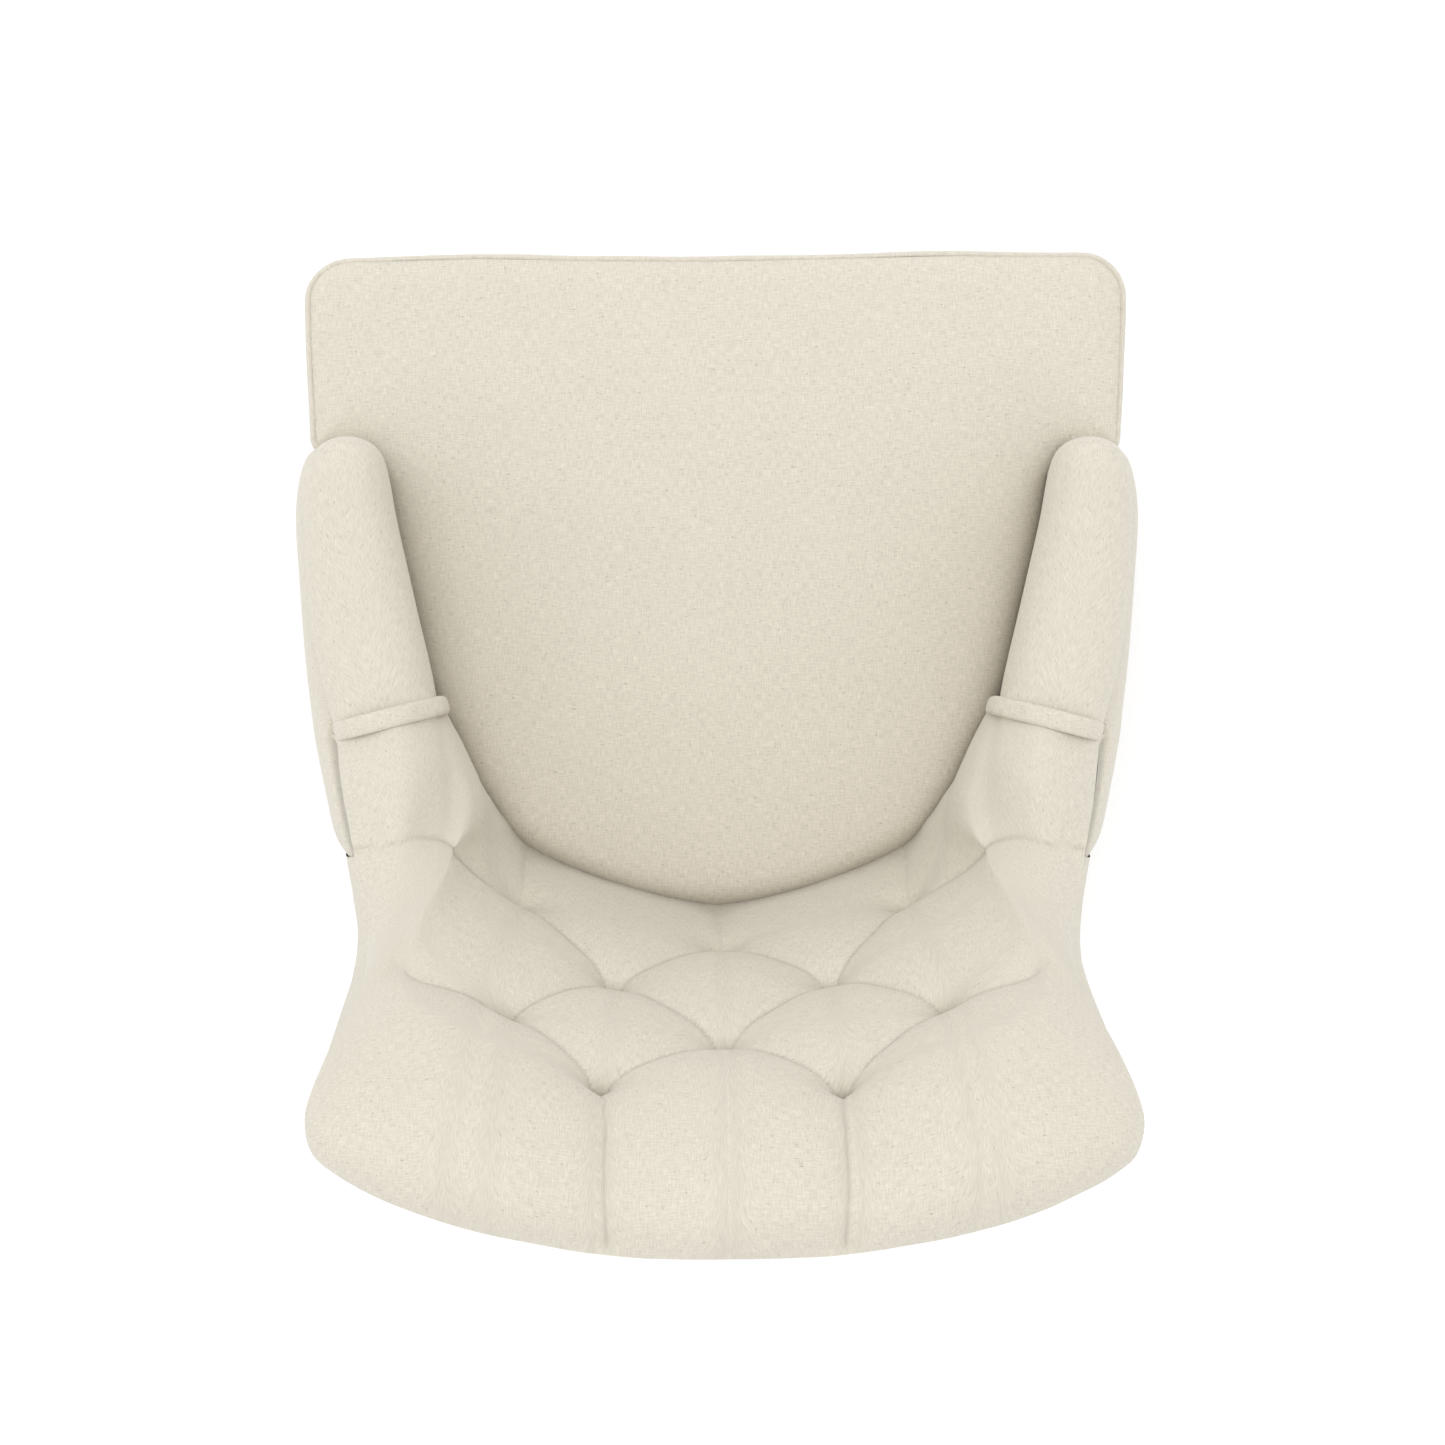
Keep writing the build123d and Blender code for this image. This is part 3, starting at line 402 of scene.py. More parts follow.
# Each diamond's sides, from a tuft to one in the row below, as (row, number in the row).
DIAMOND_SIDES = (
    ((1, 0), (2, 0)), ((1, 0), (2, 1)), ((1, 1), (2, 1)), ((1, 1), (2, 2)),
    ((2, 0), (3, 0)), ((2, 1), (3, 0)), ((2, 1), (3, 1)), ((2, 2), (3, 1)),
    ((3, 0), (4, 0)), ((3, 0), (4, 1)), ((3, 1), (4, 1)), ((3, 1), (4, 2)),
)  # fmt: skip
CREST_PLEATS = (-82, 82)
CREST_PATH = ((288, 902), (336, 938), (373, 920))  # (depth, height) over the crest to the rear seam
SEAT_FEET = ((-152, 114, 452), (0, 165, 452), (152, 114, 452))  # where the lowest pleats go under the seat
# How hard each kind pulls at its start and its end.
DIAMOND_PULL, CREST_PULL, SEAT_PULL = (1.0, 1.0), (0.7, 0.45), (0.45, 0.0)
UPPER_SIDE_PULL, LOWER_SIDE_PULL = np.array([1.0, 0.0]), np.array([0.9, 0.0])
LOWER_SIDE_END = np.array([0.0, 0.5])
LEFT_PULL = 1.3  # the left side is pulled tighter

tufts = {(row, k): on_back(x, z) for row, places in TUFT_ROWS.items() for k, (x, z) in enumerate(places)}
pleats = [([tufts[upper], tufts[lower]], DIAMOND_PULL) for upper, lower in DIAMOND_SIDES]
for k, x in enumerate(CREST_PLEATS):
    pleats.append(([tufts[1, k]] + [(x, y, z) for y, z in CREST_PATH], CREST_PULL))
for k, foot in enumerate(SEAT_FEET):
    pleats.append(([tufts[4, k], foot], SEAT_PULL))
for k, side in ((0, RIGHT), (2, LEFT)):
    pull = LEFT_PULL if side == LEFT else 1.0
    for row, path, strengths in (
        (2, UPPER_SIDE_PLEAT, pull * UPPER_SIDE_PULL),
        (4, LOWER_SIDE_PLEAT, pull * LOWER_SIDE_PULL + LOWER_SIDE_END),
    ):
        points = [station_place(side * along, across) for along, across in path]
        pleats.append(([tufts[row, k]] + points, tuple(strengths)))

# The cloth lies like an inflated skin, pulled down at the tufts and held less deeply along the pleats.
INFLATION = 0.020
REACH = 0.026  # how far from a pleat the cloth is back to its full height
TUFT_DEPTH = 0.023
PLEAT_DEPTH = 0.0070
SEAM_FILLING = 0.55  # of the inflation, at the rear seam
PLEAT_HOLD, LEAST_HOLD, TUFT_HOLD = 1.5, 0.001, 12.0  # beside the skin's own stiffness
TUFT_PULL, TUFT_PULL_WIDTH = TUFT_DEPTH + INFLATION * 0.2, 0.013  # what a tuft adds to a pleat near it

step_along = np.linalg.norm(np.gradient(base, axis=0), axis=2)
step_across = np.linalg.norm(np.gradient(base, axis=1), axis=2)
tuft_places = np.array([nearest(p) for p in tufts.values()], float)
hold = np.zeros((ALONG, ACROSS))
target = np.zeros((ALONG, ACROSS))


def place_distance(place, places):
    """Distance in metres on the surface from one grid place to others."""
    i, j = int(round(place[0])), int(round(place[1]))
    off = (np.atleast_2d(places) - place) * [step_along[i, j], step_across[i, j]]
    return np.linalg.norm(off, axis=1)


def spread(place, amount_hold, amount_target):
    """Holds the skin at a grid place, shared between four neighbours so that slanting lines stay even."""
    i0, j0 = int(place[0]), int(place[1])
    for i, wi in ((i0, 1 - place[0] + i0), (i0 + 1, place[0] - i0)):
        for j, wj in ((j0, 1 - place[1] + j0), (j0 + 1, place[1] - j0)):
            if i < ALONG and j < ACROSS and wi * wj > 0:
                weight = amount_hold * wi * wj
                target[i, j] = (target[i, j] * hold[i, j] + amount_target * weight) / (hold[i, j] + weight)
                hold[i, j] += weight


pleat_places = [tub_line(points) for points, _ in pleats]
for places, (_, (start_strength, end_strength)) in zip(pleat_places, pleats):
    for place, strength in zip(places, np.linspace(start_strength, end_strength, len(places))):
        near_tuft = place_distance(place, tuft_places).min()
        depth = -PLEAT_DEPTH * 0.55 - TUFT_PULL * math.exp(-near_tuft / TUFT_PULL_WIDTH)
        spread(place, PLEAT_HOLD * strength + LEAST_HOLD, depth + INFLATION * 0.5)
for place in tuft_places:
    spread(place, TUFT_HOLD, -TUFT_DEPTH)

weight_along = step_across / step_along
weight_across = step_along / step_across
cell = step_along * step_across
edge = np.zeros((ALONG, ACROSS), bool)
edge[0], edge[-1], edge[:, 0], edge[:, -1] = True, True, True, True
edge_height = np.full((ALONG, ACROSS), INFLATION)
edge_height[:, -1] = INFLATION * SEAM_FILLING
screen = cell / REACH**2


def skin(h):
    """The skin's stiffness applied to heights."""
    out = (screen + hold) * h
    flow = 0.5 * (weight_along[1:] + weight_along[:-1]) * (h[1:] - h[:-1])
    out[1:] += flow
    out[:-1] -= flow
    flow = 0.5 * (weight_across[:, 1:] + weight_across[:, :-1]) * (h[:, 1:] - h[:, :-1])
    out[:, 1:] += flow
    out[:, :-1] -= flow
    out[edge] = h[edge]
    return out


def free_skin(h):
    """The same with the edges left out: they are fixed, so they belong to the right-hand side."""
    return np.where(edge, 0.0, skin(np.where(edge, 0.0, h)))


MOST_STEPS, SETTLED = 900, 1e-18


def balanced_heights():
    """The heights at which the skin is in balance, by conjugate gradients."""
    load = screen * INFLATION + hold * target
    right_side = np.where(edge, 0.0, load - skin(np.where(edge, edge_height, 0.0)))
    heights = np.where(edge, 0.0, INFLATION)
    residual = right_side - free_skin(heights)
    direction = residual.copy()
    power = (residual**2).sum()
    for _ in range(MOST_STEPS):
        pushed = free_skin(direction)
        size = power / (direction * pushed).sum()
        heights += size * direction
        residual -= size * pushed
        new_power = (residual**2).sum()
        if new_power < SETTLED:
            break
        direction = residual + new_power / power * direction
        power = new_power
    return np.where(edge, edge_height, heights)


# Distance from every grid place to the nearest pleat line, near the lines only, and that line's strength.
DENSE_STEPS = 900  # places along a line
NEARBY = 5  # grid steps round each of them
FAR = 1.0
line_distance = np.full((ALONG, ACROSS), FAR)
line_strength = np.zeros((ALONG, ACROSS))
all_i, all_j = np.meshgrid(np.arange(ALONG), np.arange(ACROSS), indexing="ij")
for places, (_, (start_strength, end_strength)) in zip(pleat_places, pleats):
    steps, dense_steps = np.linspace(0, 1, len(places)), np.linspace(0, 1, DENSE_STEPS)
    dense = np.stack([np.interp(dense_steps, steps, places[:, k]) for k in (0, 1)], 1)
    for place, strength in zip(dense, np.linspace(start_strength, end_strength, DENSE_STEPS)):
        i, j = int(round(place[0])), int(round(place[1]))
        near = slice(max(i - NEARBY, 0), i + NEARBY + 1), slice(max(j - NEARBY, 0), j + NEARBY + 1)
        off_along = (all_i[near] - place[0]) * step_along[near]
        off = np.hypot(off_along, (all_j[near] - place[1]) * step_across[near])
        line_strength[near] = np.where(off < line_distance[near], strength, line_strength[near])
        line_distance[near] = np.minimum(line_distance[near], off)
tuft_distance = np.full((ALONG, ACROSS), FAR)
for place in tuft_places:
    off = np.hypot((all_i - place[0]) * step_along, (all_j - place[1]) * step_across)
    tuft_distance = np.minimum(tuft_distance, off)


def falloff(distance, width):
    """1 at no distance, and almost nothing beyond twice the width."""
    return np.exp(-((distance / width) ** 2))


FOLD_DEPTH, FOLD_WIDTH = 0.0010, 0.0022  # the sharp line at the bottom of a pleat
DIMPLE_DEPTH, DIMPLE_WIDTH = 0.006, 0.005  # at a tuft
# painted shade along the pleat lines and in the tufts' dimples
FOLD_SHADE, FOLD_SHADE_WIDTH = 0.28, 0.0011
DIMPLE_SHADE, DIMPLE_SHADE_WIDTH = 0.45, 0.004

relief = balanced_heights() - INFLATION
relief -= FOLD_DEPTH * line_strength * falloff(line_distance, FOLD_WIDTH)
relief -= DIMPLE_DEPTH * falloff(tuft_distance, DIMPLE_WIDTH)
relief += 0.0007 * smooth_noise(base, 0.11, 3) + 0.0003 * smooth_noise(base, 0.035, 4)
tub = base + tub_normal * relief[..., None]
# painted shade of the inside back: along the pleat lines and in the tuft dimples
tub_painted_shade = FOLD_SHADE * line_strength * falloff(line_distance, FOLD_SHADE_WIDTH)
tub_painted_shade += DIMPLE_SHADE * falloff(tuft_distance, DIMPLE_SHADE_WIDTH)


def finish_piece(piece, nodes):
    """Ties a piece to the frame and hides the CAD nodes that it stands for."""
    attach(piece, "root")
    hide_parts(*nodes)


def finish_pad(piece, nodes):
    """A tightly filled pad in the cover cloth."""
    finish_piece(piece, nodes)


def finish_sheet(piece, nodes):
    """A sheet of cloth pulled tight and stapled, tied to the frame as any piece is. grid_object measures its
    cut on its own grid.
    """
    finish_piece(piece, nodes)


# The cloth is in the seat's deep crease below this height, and there it gets painted shade.
CREASE_TOP, CREASE_FADE, CREASE_SHADE = 0.487, 0.016, 0.10
tub_painted_shade = np.maximum(tub_painted_shade, CREASE_SHADE * np.clip((CREASE_TOP - tub[..., 2]) / CREASE_FADE, 0, 1))
inside_back = grid_object("inside_back", tub, COVER, painted_shade=tub_painted_shade)
finish_pad(inside_back, ["back_inner_cover", "back_foam", "tuft_twine"])

# ---------------------------------------------------------------- outside back
TURN_IN, TURN_IN_Z = (0.006, 0.050), 0.1997  # the cloth is folded in under the rails, over the dust cover
# The outside at two heights, from the middle of the back to the waist, as (across, depth) in mm.
OUTER_FEET = (
    (0, 240), (70, 235), (140, 219), (199, 196), (228, 180), (252, 163), (270, 147), (282, 130), (291, 112),
)  # fmt: skip
OUTER_WAISTS = (
    (0, 290), (70, 285), (142, 267), (205, 240), (238, 218), (262, 197), (277, 174), (287, 149), (297, 119),
)  # fmt: skip
WAIST_Z, FOOT_Z = 0.470, 0.206
STAND_OFF, ROLL = 0.0045, 0.05  # how far the cloth stands off, and over what share of the way it rolls out
BELLY = 0.004
UPPER_ROWS, LOWER_ROWS = 90, 60
first, last = MIDDLE + 1 - len(OUTER_FEET), MIDDLE - 1 + len(OUTER_FEET)  # the stations it spans
rows_spanned = np.flatnonzero((along_keys >= station_keys[first]) & (along_keys <= station_keys[last]))


def round_the_back(points):
    """A curve round the back at one height, at the same places along as the tub's rear seam."""
    ring = np.array(points, float)
    ring = np.concatenate([ring[:0:-1] * [-1, 1], ring]) * MM
    return natural_spline(station_keys[first : last + 1], ring, along_keys[rows_spanned])


def at_height(flat, z):
    """Points given in plan, all at one height."""
    return np.column_stack([flat, np.full(len(flat), z)])


seam_edge = tub[rows_spanned, -1]
waist, foot = round_the_back(OUTER_WAISTS), round_the_back(OUTER_FEET)
seam_out = np.gradient(seam_edge, axis=0)[:, :2]
seam_out = np.column_stack([-seam_out[:, 1], seam_out[:, 0]])
seam_out /= np.linalg.norm(seam_out, axis=1, keepdims=True)
seam_out *= np.sign((seam_out * (seam_edge[:, :2] - [0, 0.1])).sum(axis=1, keepdims=True))
levels = []
for t in np.linspace(0, 1, UPPER_ROWS):  # from the seam to the waist
    swell = STAND_OFF * (1 - math.exp(-t / ROLL)) + BELLY * math.sin(math.pi * t)
    flat = seam_edge[:, :2] * (1 - t) + waist * t + seam_out * swell
    levels.append(np.column_stack([flat, seam_edge[:, 2] * (1 - t) + WAIST_Z * t]))
for t in np.linspace(0, 1, LOWER_ROWS)[1:]:  # from the waist to the foot
    flat = waist * (1 - t) + foot * t + seam_out * STAND_OFF
    levels.append(at_height(flat, WAIST_Z * (1 - t) + FOOT_Z * t))
for inward in TURN_IN:
    levels.append(at_height(foot - seam_out * inward, TURN_IN_Z))
outer_grid = np.stack(levels, axis=1)
outer_back = grid_object("outside_back", outer_grid, COVER)
BACK_NODES = ["outer_back_panel", "left_back_side_panel", "right_back_side_panel"]
finish_sheet(outer_back, BACK_NODES)

# ---------------------------------------------------------------- arms
ARM_OUTLINE = (
    (219, 16), (224, -14), (234.5, -60), (246, -110), (255, -152), (261, -183), (268, -198), (281, -206),
    (298, -207), (313, -200), (321, -186), (325, -160), (324.5, -110), (320, -60), (309.5, -6), (299.5, 31),
)  # fmt: skip
ARM_AXIS = ((258, 20), (267, -20), (277, -60), (286, -110), (291, -150), (292, -178))
ARM_POINTS = 260
WALL_ROWS, CROWN_ROWS = 60, 44
ARM_FOOT = 0.300
SHOULDER = 0.590  # where the arm's wall turns into its rounded top
CROWN_RISE = 0.041
CROWN_FULLNESS, CROWN_FLATNESS = 0.82, 0.9  # powers: at 1 the crown would be a plain ellipse
WALL_LEAN = 0.135  # how far the inner wall falls back under the padding, per metre down
LEAN_FOOT = 0.450  # below the seat's top the wall stands upright
# Places along the outline, from 0 at its inner end to 1 at its outer end.
NOSE_START, NOSE_END = 0.40, 0.60
LEAN_END, LEAN_FADE, NOSE_LEAN = 0.50, 0.10, 0.3  # the nose leans less than the inner wall
OUTSIDE_START, OUTSIDE_FADE = 0.60, 0.06
PANEL_TUCK, TUCK_HEIGHT = 0.009, 0.012  # the outer wall steps in behind the outer panel
# painted shade on the inner wall, in the seat's crease below this height
ARM_CREASE_TOP, ARM_CREASE_FADE = 0.53, 0.05
# painted shade just under the shoulder, along the outer panel's seam, and its width
SHOULDER_SHADE, SHOULDER_SHADE_WIDTH = 0.5, 0.0035


def arm_grid():
    """The arm's wall and crown, from its tucked foot to the middle line of its top, and its painted shade in
    the crease and under the shoulder.
    """
    outline = curve_through(ARM_OUTLINE, ARM_POINTS) * MM
    axis = curve_through(ARM_AXIS, 200) * MM
    nearest_axis = np.empty_like(outline)
    # The axis point falls back evenly along each side, and stays at the axis end round the nose.
    keys = np.linspace(0, 1, ARM_POINTS)
    inward = np.minimum(1, np.minimum(keys / NOSE_START, (1 - keys) / (1 - NOSE_END)))
    for k in (0, 1):
        nearest_axis[:, k] = np.interp(inward, np.linspace(0, 1, len(axis)), axis[:, k])
    away = outline - nearest_axis
    away /= np.linalg.norm(away, axis=1, keepdims=True)
    outside = np.clip((keys - OUTSIDE_START) / OUTSIDE_FADE, 0, 1)
    leaning = np.clip((LEAN_END - keys) / LEAN_FADE, NOSE_LEAN, 1) * (1 - outside)
    rows = []
    for z in np.linspace(ARM_FOOT, SHOULDER, WALL_ROWS):
        fall = WALL_LEAN * (SHOULDER - max(z, LEAN_FOOT)) * leaning
        tuck = PANEL_TUCK * outside * min(1.0, (SHOULDER - z) / TUCK_HEIGHT)
        rows.append(at_height(outline - away * (fall + tuck)[:, None], z))
    for angle in np.linspace(0, math.pi / 2, CROWN_ROWS)[1:]:
        keep = math.cos(angle) ** CROWN_FULLNESS
        z = SHOULDER + CROWN_RISE * math.sin(angle) ** CROWN_FLATNESS
        rows.append(at_height(nearest_axis + (outline - nearest_axis) * keep, z))
    grid = np.stack(rows, axis=1)
    height = grid[..., 2]
    in_crease = np.clip((ARM_CREASE_TOP - height) / ARM_CREASE_FADE, 0, 1)
    shoulder_painted_shade = SHOULDER_SHADE * outside[:, None] * falloff(height - SHOULDER, SHOULDER_SHADE_WIDTH)
    return grid, np.maximum(CREASE_SHADE * leaning[:, None] * in_crease, shoulder_painted_shade)


# The outer arm panel's top, its widest level and its foot, from the nose to the waist.
PANEL_TOP = (
    (288, -196, 582), (301, -195, 582), (308, -189, 582), (312, -168, 582), (311.5, -110, 582),
    (307, -60, 582), (297, -10, 584), (292, 12, 589),
)  # fmt: skip
PANEL_MIDDLE = (
    (292, -209.5, 500), (316, -209, 500), (331, -202, 500), (338, -188, 500), (341, -112, 500),
    (335, -31, 500), (327, 27, 500), (314, 85, 500), (303, 116, 500), (291, 128, 500),
)  # fmt: skip
PANEL_FOOT = (
    (292, -209, 206), (314, -208, 206), (327, -201, 206), (333, -188, 206), (336, -112, 206),
    (330, -31, 206), (322, 27, 206), (308, 85, 206), (297, 110, 206), (284, 123, 206),
)  # fmt: skip


PANEL_POINTS = 190
TUB_EDGE_POINTS = 14
PANEL_UPPER_ROWS, PANEL_LOWER_ROWS = 60, 70
PANEL_ROLL = 0.6  # a power: the lower, the faster the cloth rolls out from under the shoulder
SEAM_DIP, SEAM_DIP_AT = 4.0, 0.03  # the cloth dips by so many mm just below its top seam


def outer_arm_grid():
    """The outer arm panel, from its seam under the arm's shoulder down to the rail and in under it."""
    # Behind the band its top is sewn to the real edge of the tub, from the band back to the waist.
    tub_rows = np.linspace(ALONG - 1, rows_spanned[-1], TUB_EDGE_POINTS).astype(int)
    top = curve_through(np.concatenate([np.array(PANEL_TOP, float), tub[tub_rows, -1] / MM]), PANEL_POINTS)
    middle, foot = curve_through(PANEL_MIDDLE, PANEL_POINTS), curve_through(PANEL_FOOT, PANEL_POINTS)
    rows = []
    for t in np.linspace(0, 1, PANEL_UPPER_ROWS):
        swell = math.sin(math.pi / 2 * t**PANEL_ROLL)
        flat = top[:, :2] * (1 - swell) + middle[:, :2] * swell
        dip = SEAM_DIP * falloff(t - SEAM_DIP_AT, SEAM_DIP_AT)
        rows.append(np.column_stack([flat, top[:, 2] * (1 - t) + middle[:, 2] * t - dip]))
    for t in np.linspace(0, 1, PANEL_LOWER_ROWS)[1:]:
        rows.append(middle * (1 - t) + foot * t)
    for inward in TURN_IN:
        rows.append(foot * [1, 1, 0] + np.array([-inward, 0, TURN_IN_Z]) / MM)
    return np.stack(rows, axis=1) * MM


BAND_PATH = (
    (231, 8, 462), (227, 6.5, 520), (221.5, 5, 570), (222.5, 5.3, 600), (231, 8, 620), (243, 11, 632.5),
    (258, 15, 636.5), (274, 19, 633.5), (287, 22, 623.5), (295.5, 24, 609), (298, 24.5, 593), (296, 24, 576),
)  # fmt: skip
BAND_TURN = math.radians(15)


BAND_POINTS, RING_POINTS = 200, 41
BAND_HALF_WIDTH = 0.0080
BAND_PROUD = 0.0042
FOLD_PROUD, FOLD_LENGTH = 0.0036, 0.008  # fuller where it folds over the arm's inner edge
BAND_WIDTH_POWER, BAND_PROUD_POWER = 0.55, 0.7  # below 1 they make its section a rounded box
BAND_SHADE, BAND_SHADE_POWER = 0.3, 30  # painted shade along its two sewn edges, where it meets the arm


def signed_power(value, power):
    return np.sign(value) * abs(value) ** power


def band_grid():
    """The raised band across the arm, a flattened padded tube, and the painted shade along its edges."""
    path = curve_through(BAND_PATH, BAND_POINTS) * MM
    tangent = np.gradient(path, axis=0)
    tangent /= np.linalg.norm(tangent, axis=1, keepdims=True)
    across = np.array([math.sin(BAND_TURN), -math.cos(BAND_TURN), 0.0])
    away = np.cross(tangent, across)
    away *= np.sign(away[BAND_POINTS // 2, 2])
    proud = BAND_PROUD + FOLD_PROUD * falloff(path[:, 0] - path[:, 0].min(), FOLD_LENGTH)
    rings = []
    angles = np.linspace(0, 2 * math.pi, RING_POINTS)
    for angle in angles:
        wide = BAND_HALF_WIDTH * signed_power(math.cos(angle), BAND_WIDTH_POWER)
        high = proud * signed_power(math.sin(angle), BAND_PROUD_POWER)
        rings.append(path + across * wide + away * high[:, None])
    grid = np.stack(rings, axis=1)
    return grid, np.broadcast_to(BAND_SHADE * np.abs(np.cos(angles)) ** BAND_SHADE_POWER, grid.shape[:2])


PANEL_SHADE, PANEL_SHADE_FADE = 0.4, 65  # painted shade, darkest along its top seam under the arm's shoulder

for side in (LEFT, RIGHT):
    label = SIDE_NAMES[side]
    grid, painted_shade = arm_grid()
    grid[..., 2] += 0.0006 * smooth_noise(mirror_grid(grid, side), 0.08, 11)
    piece = grid_object(f"{label}_arm", mirror_grid(grid, side), COVER, painted_shade=painted_shade, flip=side == RIGHT)
    finish_pad(piece, [f"{label}_arm_cover", f"{label}_arm_foam"])
    grid = mirror_grid(outer_arm_grid(), side)
    panel_painted_shade = PANEL_SHADE * falloff(np.linspace(0, 1, grid.shape[1]), 1 / PANEL_SHADE_FADE)
    painted_shade = np.broadcast_to(panel_painted_shade, grid.shape[:2])
    piece = grid_object(f"{label}_outer_arm", grid, COVER, painted_shade=painted_shade, flip=side == LEFT)
    finish_sheet(piece, [f"{label}_outer_arm_panel"])
    grid, painted_shade = band_grid()
    piece = grid_object(f"{label}_band", mirror_grid(grid, side), COVER, painted_shade=painted_shade, flip=side == RIGHT)
    finish_pad(piece, [f"{label}_arm_band"])

# ---------------------------------------------------------------- seat pad
# All in mm. The front isn't quite straight, as (across, how far back).
FRONT_WAVE = (
    (-345, 1.0), (-300, -2.5), (-200, -3.0), (-100, -0.5), (0, 1.5), (100, 1.0), (200, -0.5), (300, 2.5),
    (345, 5.0),
)  # fmt: skip
WAVE_START, WAVE_FADE = -300, 60
REAR_EDGE = (
    (-62, 165.5), (0, 174), (62, 165.5), (116, 147), (151, 129), (168, 118), (179, 108), (189, 96),
    (199, 83), (210, 65), (222, 38), (238, 6), (249, -28), (257, -66), (268, -112), (278, -160),
    (285, -190), (293, -206),
)  # fmt: skip
EAR = ((300, -212), (313, -213), (327, -213), (331, -214), (333, -218))
OUTER_EDGE = ((337, -300), (337.5, -330))
CORNER_X, CORNER_Y, CORNER_RADIUS = 307.5, -338, 30
FRONT_Y = CORNER_Y - CORNER_RADIUS


def seat_half(side):
    """Half the seat's plan, from the middle of its rear edge to the middle of its front, in millimetres."""
    rear = curve_through(REAR_EDGE, 230)
    rear = rear[rear[:, 0] >= 0]
    rear[0, 0] = 0
    angles = np.linspace(0.05, math.pi / 2, 14)
    round_corner = CORNER_RADIUS * np.column_stack([np.cos(angles), -np.sin(angles)])
    front = [(x, FRONT_Y) for x in np.linspace(290, 0, 60)]
    points = np.concatenate([rear, EAR, OUTER_EDGE, [CORNER_X, CORNER_Y] + round_corner, front])
    return points * [side, 1]


HALF_POINTS = 450
left_half, right_half = resample(seat_half(LEFT), HALF_POINTS), resample(seat_half(RIGHT), HALF_POINTS)
seat_outline = np.concatenate([left_half, right_half[::-1][1:-1]])
near_front = np.clip((WAVE_START - seat_outline[:, 1]) / WAVE_FADE, 0, 1)
wave_x, wave_y = np.array(FRONT_WAVE, float).T
seat_outline[:, 1] += near_front * np.interp(seat_outline[:, 0], wave_x, wave_y)
seat_outline *= MM
# From here on in metres.
EAR_Y = -0.2085  # behind this the seat's edge is tucked down between the arms and the back
tucked = (seat_outline[:, 1] > EAR_Y).astype(float)

SEAT_CENTRE = np.array([0.0, -0.25])
SEAT_REACH = 0.345  # from the centre to the outline, for the spacing of the rings
EDGE_INSETS = (
    0, 0.8, 1.8, 3, 4.5, 6.5, 9, 12, 16, 20, 25, 31, 38, 46, 56, 68, 82, 98, 116, 136,
)  # fmt: skip
insets = np.concatenate([EDGE_INSETS, np.linspace(160, 330, 10)]) * MM
keeps = [np.clip(1 - inset / SEAT_REACH, 0, 1) for inset in insets] + [0.0]
plan = np.stack([SEAT_CENTRE + (seat_outline - SEAT_CENTRE) * keep for keep in keeps], axis=1)
flat_plan = plan.reshape(-1, 2)
edge_distance = np.empty(len(flat_plan))
edge_tucked = np.empty(len(flat_plan))
BATCH = 4000  # points measured at a time, to spare memory
TUCK_BLEND = 0.006
for start in range(0, len(flat_plan), BATCH):
    batch = slice(start, start + BATCH)
    away = np.linalg.norm(flat_plan[batch, None] - seat_outline[None], axis=2)
    lowest = away.min(axis=1)
    edge_distance[batch] = lowest
    blend = np.exp(-(away - lowest[:, None]) / TUCK_BLEND)
    edge_tucked[batch] = (blend * tucked).sum(axis=1) / blend.sum(axis=1)

PAD_Z = 0.475  # the seat just inside its edges
FREE_EDGE_Z, FREE_ROUND = 0.4655, 0.006
TUCKED_EDGE_Z, TUCKED_ROUND = 0.4390, 0.0075
SEAT_CROWN, CROWN_SPREAD = 0.011, 0.085
SEAT_CREASE_WIDTH = 0.0105


def rise(height, width):
    """A height reached a few widths in from the seat's edge."""
    return height * (1 - np.exp(-edge_distance / width))


free_height = FREE_EDGE_Z + rise(PAD_Z - FREE_EDGE_Z, FREE_ROUND)
tucked_height = TUCKED_EDGE_Z + rise(PAD_Z - TUCKED_EDGE_Z, TUCKED_ROUND)
seat_z = free_height * (1 - edge_tucked) + tucked_height * edge_tucked + rise(SEAT_CROWN, CROWN_SPREAD)
seat_points = np.column_stack([flat_plan, seat_z])
seat_points[:, 2] += 0.0006 * smooth_noise(seat_points, 0.16, 21)
seat_grid = seat_points.reshape(plan.shape[0], plan.shape[1], 3)
# painted shade in the crease where the seat's edge tucks down between the arms and the back
seat_painted_shade = CREASE_SHADE * edge_tucked * falloff(edge_distance, SEAT_CREASE_WIDTH)
seat_top = grid_object("seat_top", seat_grid, COVER, uv=plan.copy(), painted_shade=seat_painted_shade, close_along=True)
finish_pad(seat_top, ["seat_top_panel", "seat_foam"])

STRIP_END_Y = -0.2105
STRIP_POINTS = 420
front_path = seat_outline[seat_outline[:, 1] < STRIP_END_Y]
order = np.argsort(np.unwrap(np.arctan2(front_path[:, 0], -(front_path[:, 1] + 0.2))))
front_path = resample(front_path[order], STRIP_POINTS)
path_tangent = np.gradient(front_path, axis=0)
path_tangent /= np.linalg.norm(path_tangent, axis=1, keepdims=True)
path_out = np.column_stack([-path_tangent[:, 1], path_tangent[:, 0]])
if (path_out * (front_path - SEAT_CENTRE)).sum() < 0:
    path_out = -path_out


SIDE_PROFILE = (
    (-1.5, 463.5), (1.2, 466.5), (3.4, 464), (5.2, 450), (6.2, 425), (6.0, 395), (4.2, 366), (1.0, 354),
    (-3, 352.5),
)  # fmt: skip
BORDER_PROFILE = (
    (-3, 350.5), (1.0, 349), (3.4, 340), (5.0, 300), (5.4, 240), (5.0, 206), (2.0, 199.6), (-30, 199.7),
)  # fmt: skip


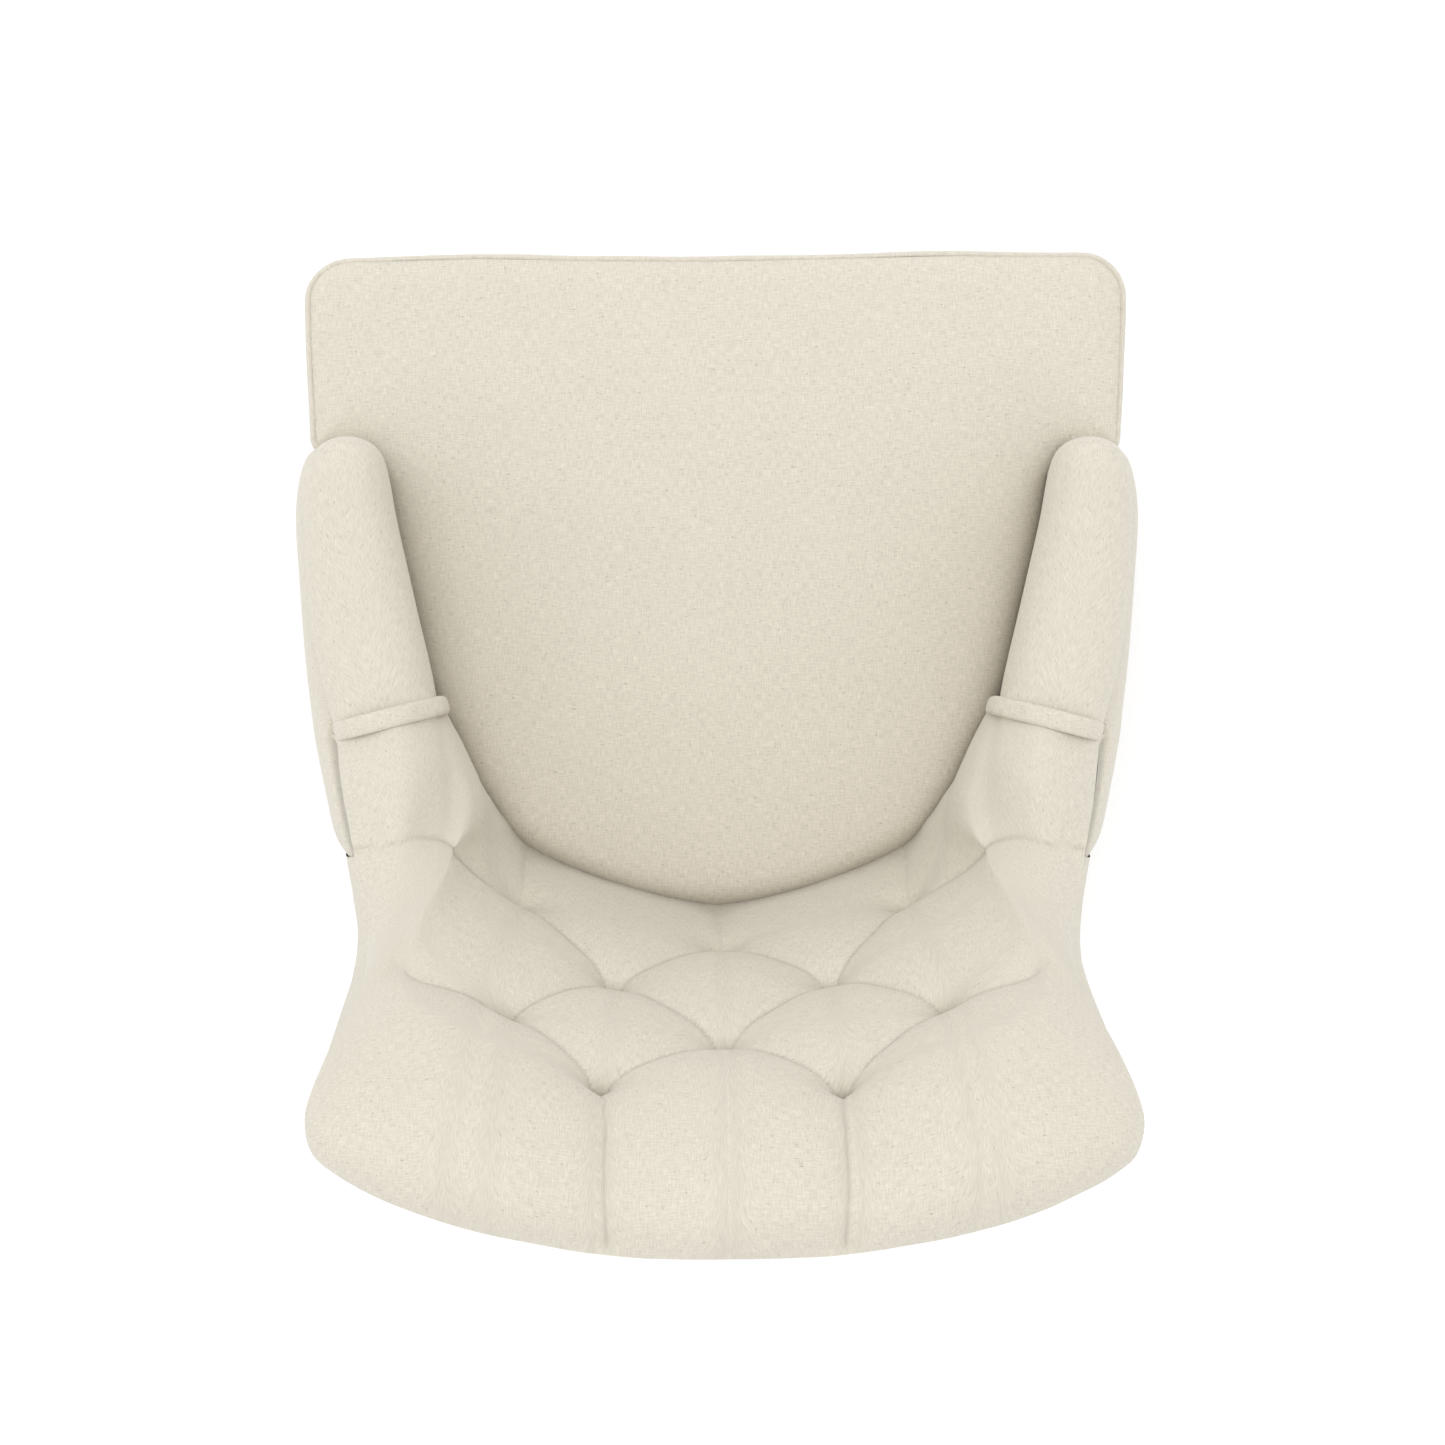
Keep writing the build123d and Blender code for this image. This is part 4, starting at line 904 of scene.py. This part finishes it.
def strip(name, profile, nodes, count):
    """A strip round the seat's front. profile holds (distance outside its top seam, height) in mm."""
    profile = resample(curve_through(profile, 120), count) * MM
    grid = np.stack([at_height(front_path + path_out * out, z) for out, z in profile], axis=1)
    grid[..., :2] += path_out[:, None] * (0.0005 * smooth_noise(grid, 0.09, 31))[..., None]
    piece = grid_object(name, grid, COVER)
    finish_pad(piece, nodes)


strip("seat_side", SIDE_PROFILE, ["seat_side_band"], 60)
strip("front_strip", BORDER_PROFILE, ["front_border"], 70)

# ---------------------------------------------------------------- dust cover
DUST_FRONT, DUST_CORNER, DUST_REAR = -0.352, 0.140, 0.195
DUST_HALF_WIDTHS = (0.315, 0.256, 0.170)  # at those three places
DUST_TOP = 0.1995
DUST_SAG = 0.004


def dust_grid():
    """The thin cloth stapled under the frame, sagging slightly between the rails."""
    y = np.linspace(DUST_FRONT, DUST_REAR, 70)
    half_width = np.interp(y, (DUST_FRONT, DUST_CORNER, DUST_REAR), DUST_HALF_WIDTHS)
    across = np.linspace(-1, 1, 90)
    x = across[:, None] * half_width
    along = (y - DUST_FRONT) / (DUST_REAR - DUST_FRONT)
    sag = DUST_SAG * (1 - across[:, None] ** 4) * (np.sin(math.pi * along) ** 0.6)
    grid = np.stack([x, np.broadcast_to(y, x.shape), DUST_TOP - sag], axis=2)
    grid[..., 2] -= sag * 0.35 * (1 + smooth_noise(grid * [1, 1, 0], 0.05, 41))
    return grid


dust = dust_grid()
dust_cover = grid_object("dust_cloth", dust, NODE_MATERIALS["lining_cloth"])
finish_sheet(dust_cover, ["dust_cover"])

# ---------------------------------------------------------------- stage, light and camera
bpy.ops.mesh.primitive_plane_add(size=60, location=(0, 0, 0))
floor = bpy.context.object
floor.name = "floor"
floor.data.materials.append(material("floor", 0.9, (0.95, 0.95, 0.95))[0])


def soft_sun(name, place, strength, softness, aim=(0, 0, 0.4)):
    """Even light from one direction, as from a large distant softbox. softness is its width in degrees."""
    data = bpy.data.lights.new(name, "SUN")
    data.energy = strength
    data.angle = math.radians(softness)
    lamp = bpy.data.objects.new(name, data)
    lamp.location = place
    lamp.rotation_euler = (Vector(aim) - Vector(place)).to_track_quat("-Z", "Y").to_euler()
    bpy.context.scene.collection.objects.link(lamp)


soft_sun("overhead", (0.15, -0.6, 3.5), 1.06, 35)
soft_sun("key", (2.6, -0.7, 2.2), 0.14, 20)
world = bpy.data.worlds.new("studio")
world.use_nodes = True
world.node_tree.nodes["Background"].inputs["Color"].default_value = (1, 1, 1, 1)
world.node_tree.nodes["Background"].inputs["Strength"].default_value = 1.0
bpy.context.scene.world = world
bpy.context.scene.view_settings.view_transform = "Standard"

camera_data = bpy.data.cameras.new("camera")
camera_data.lens = 69.86
camera_data.sensor_width = 36
camera = bpy.data.objects.new("camera", camera_data)
camera.location = (0.036, 0.0175, 2.8)
camera.rotation_euler = (0, 0, math.pi)
camera_data.shift_x = 0.0346
bpy.context.scene.collection.objects.link(camera)
bpy.context.scene.camera = camera
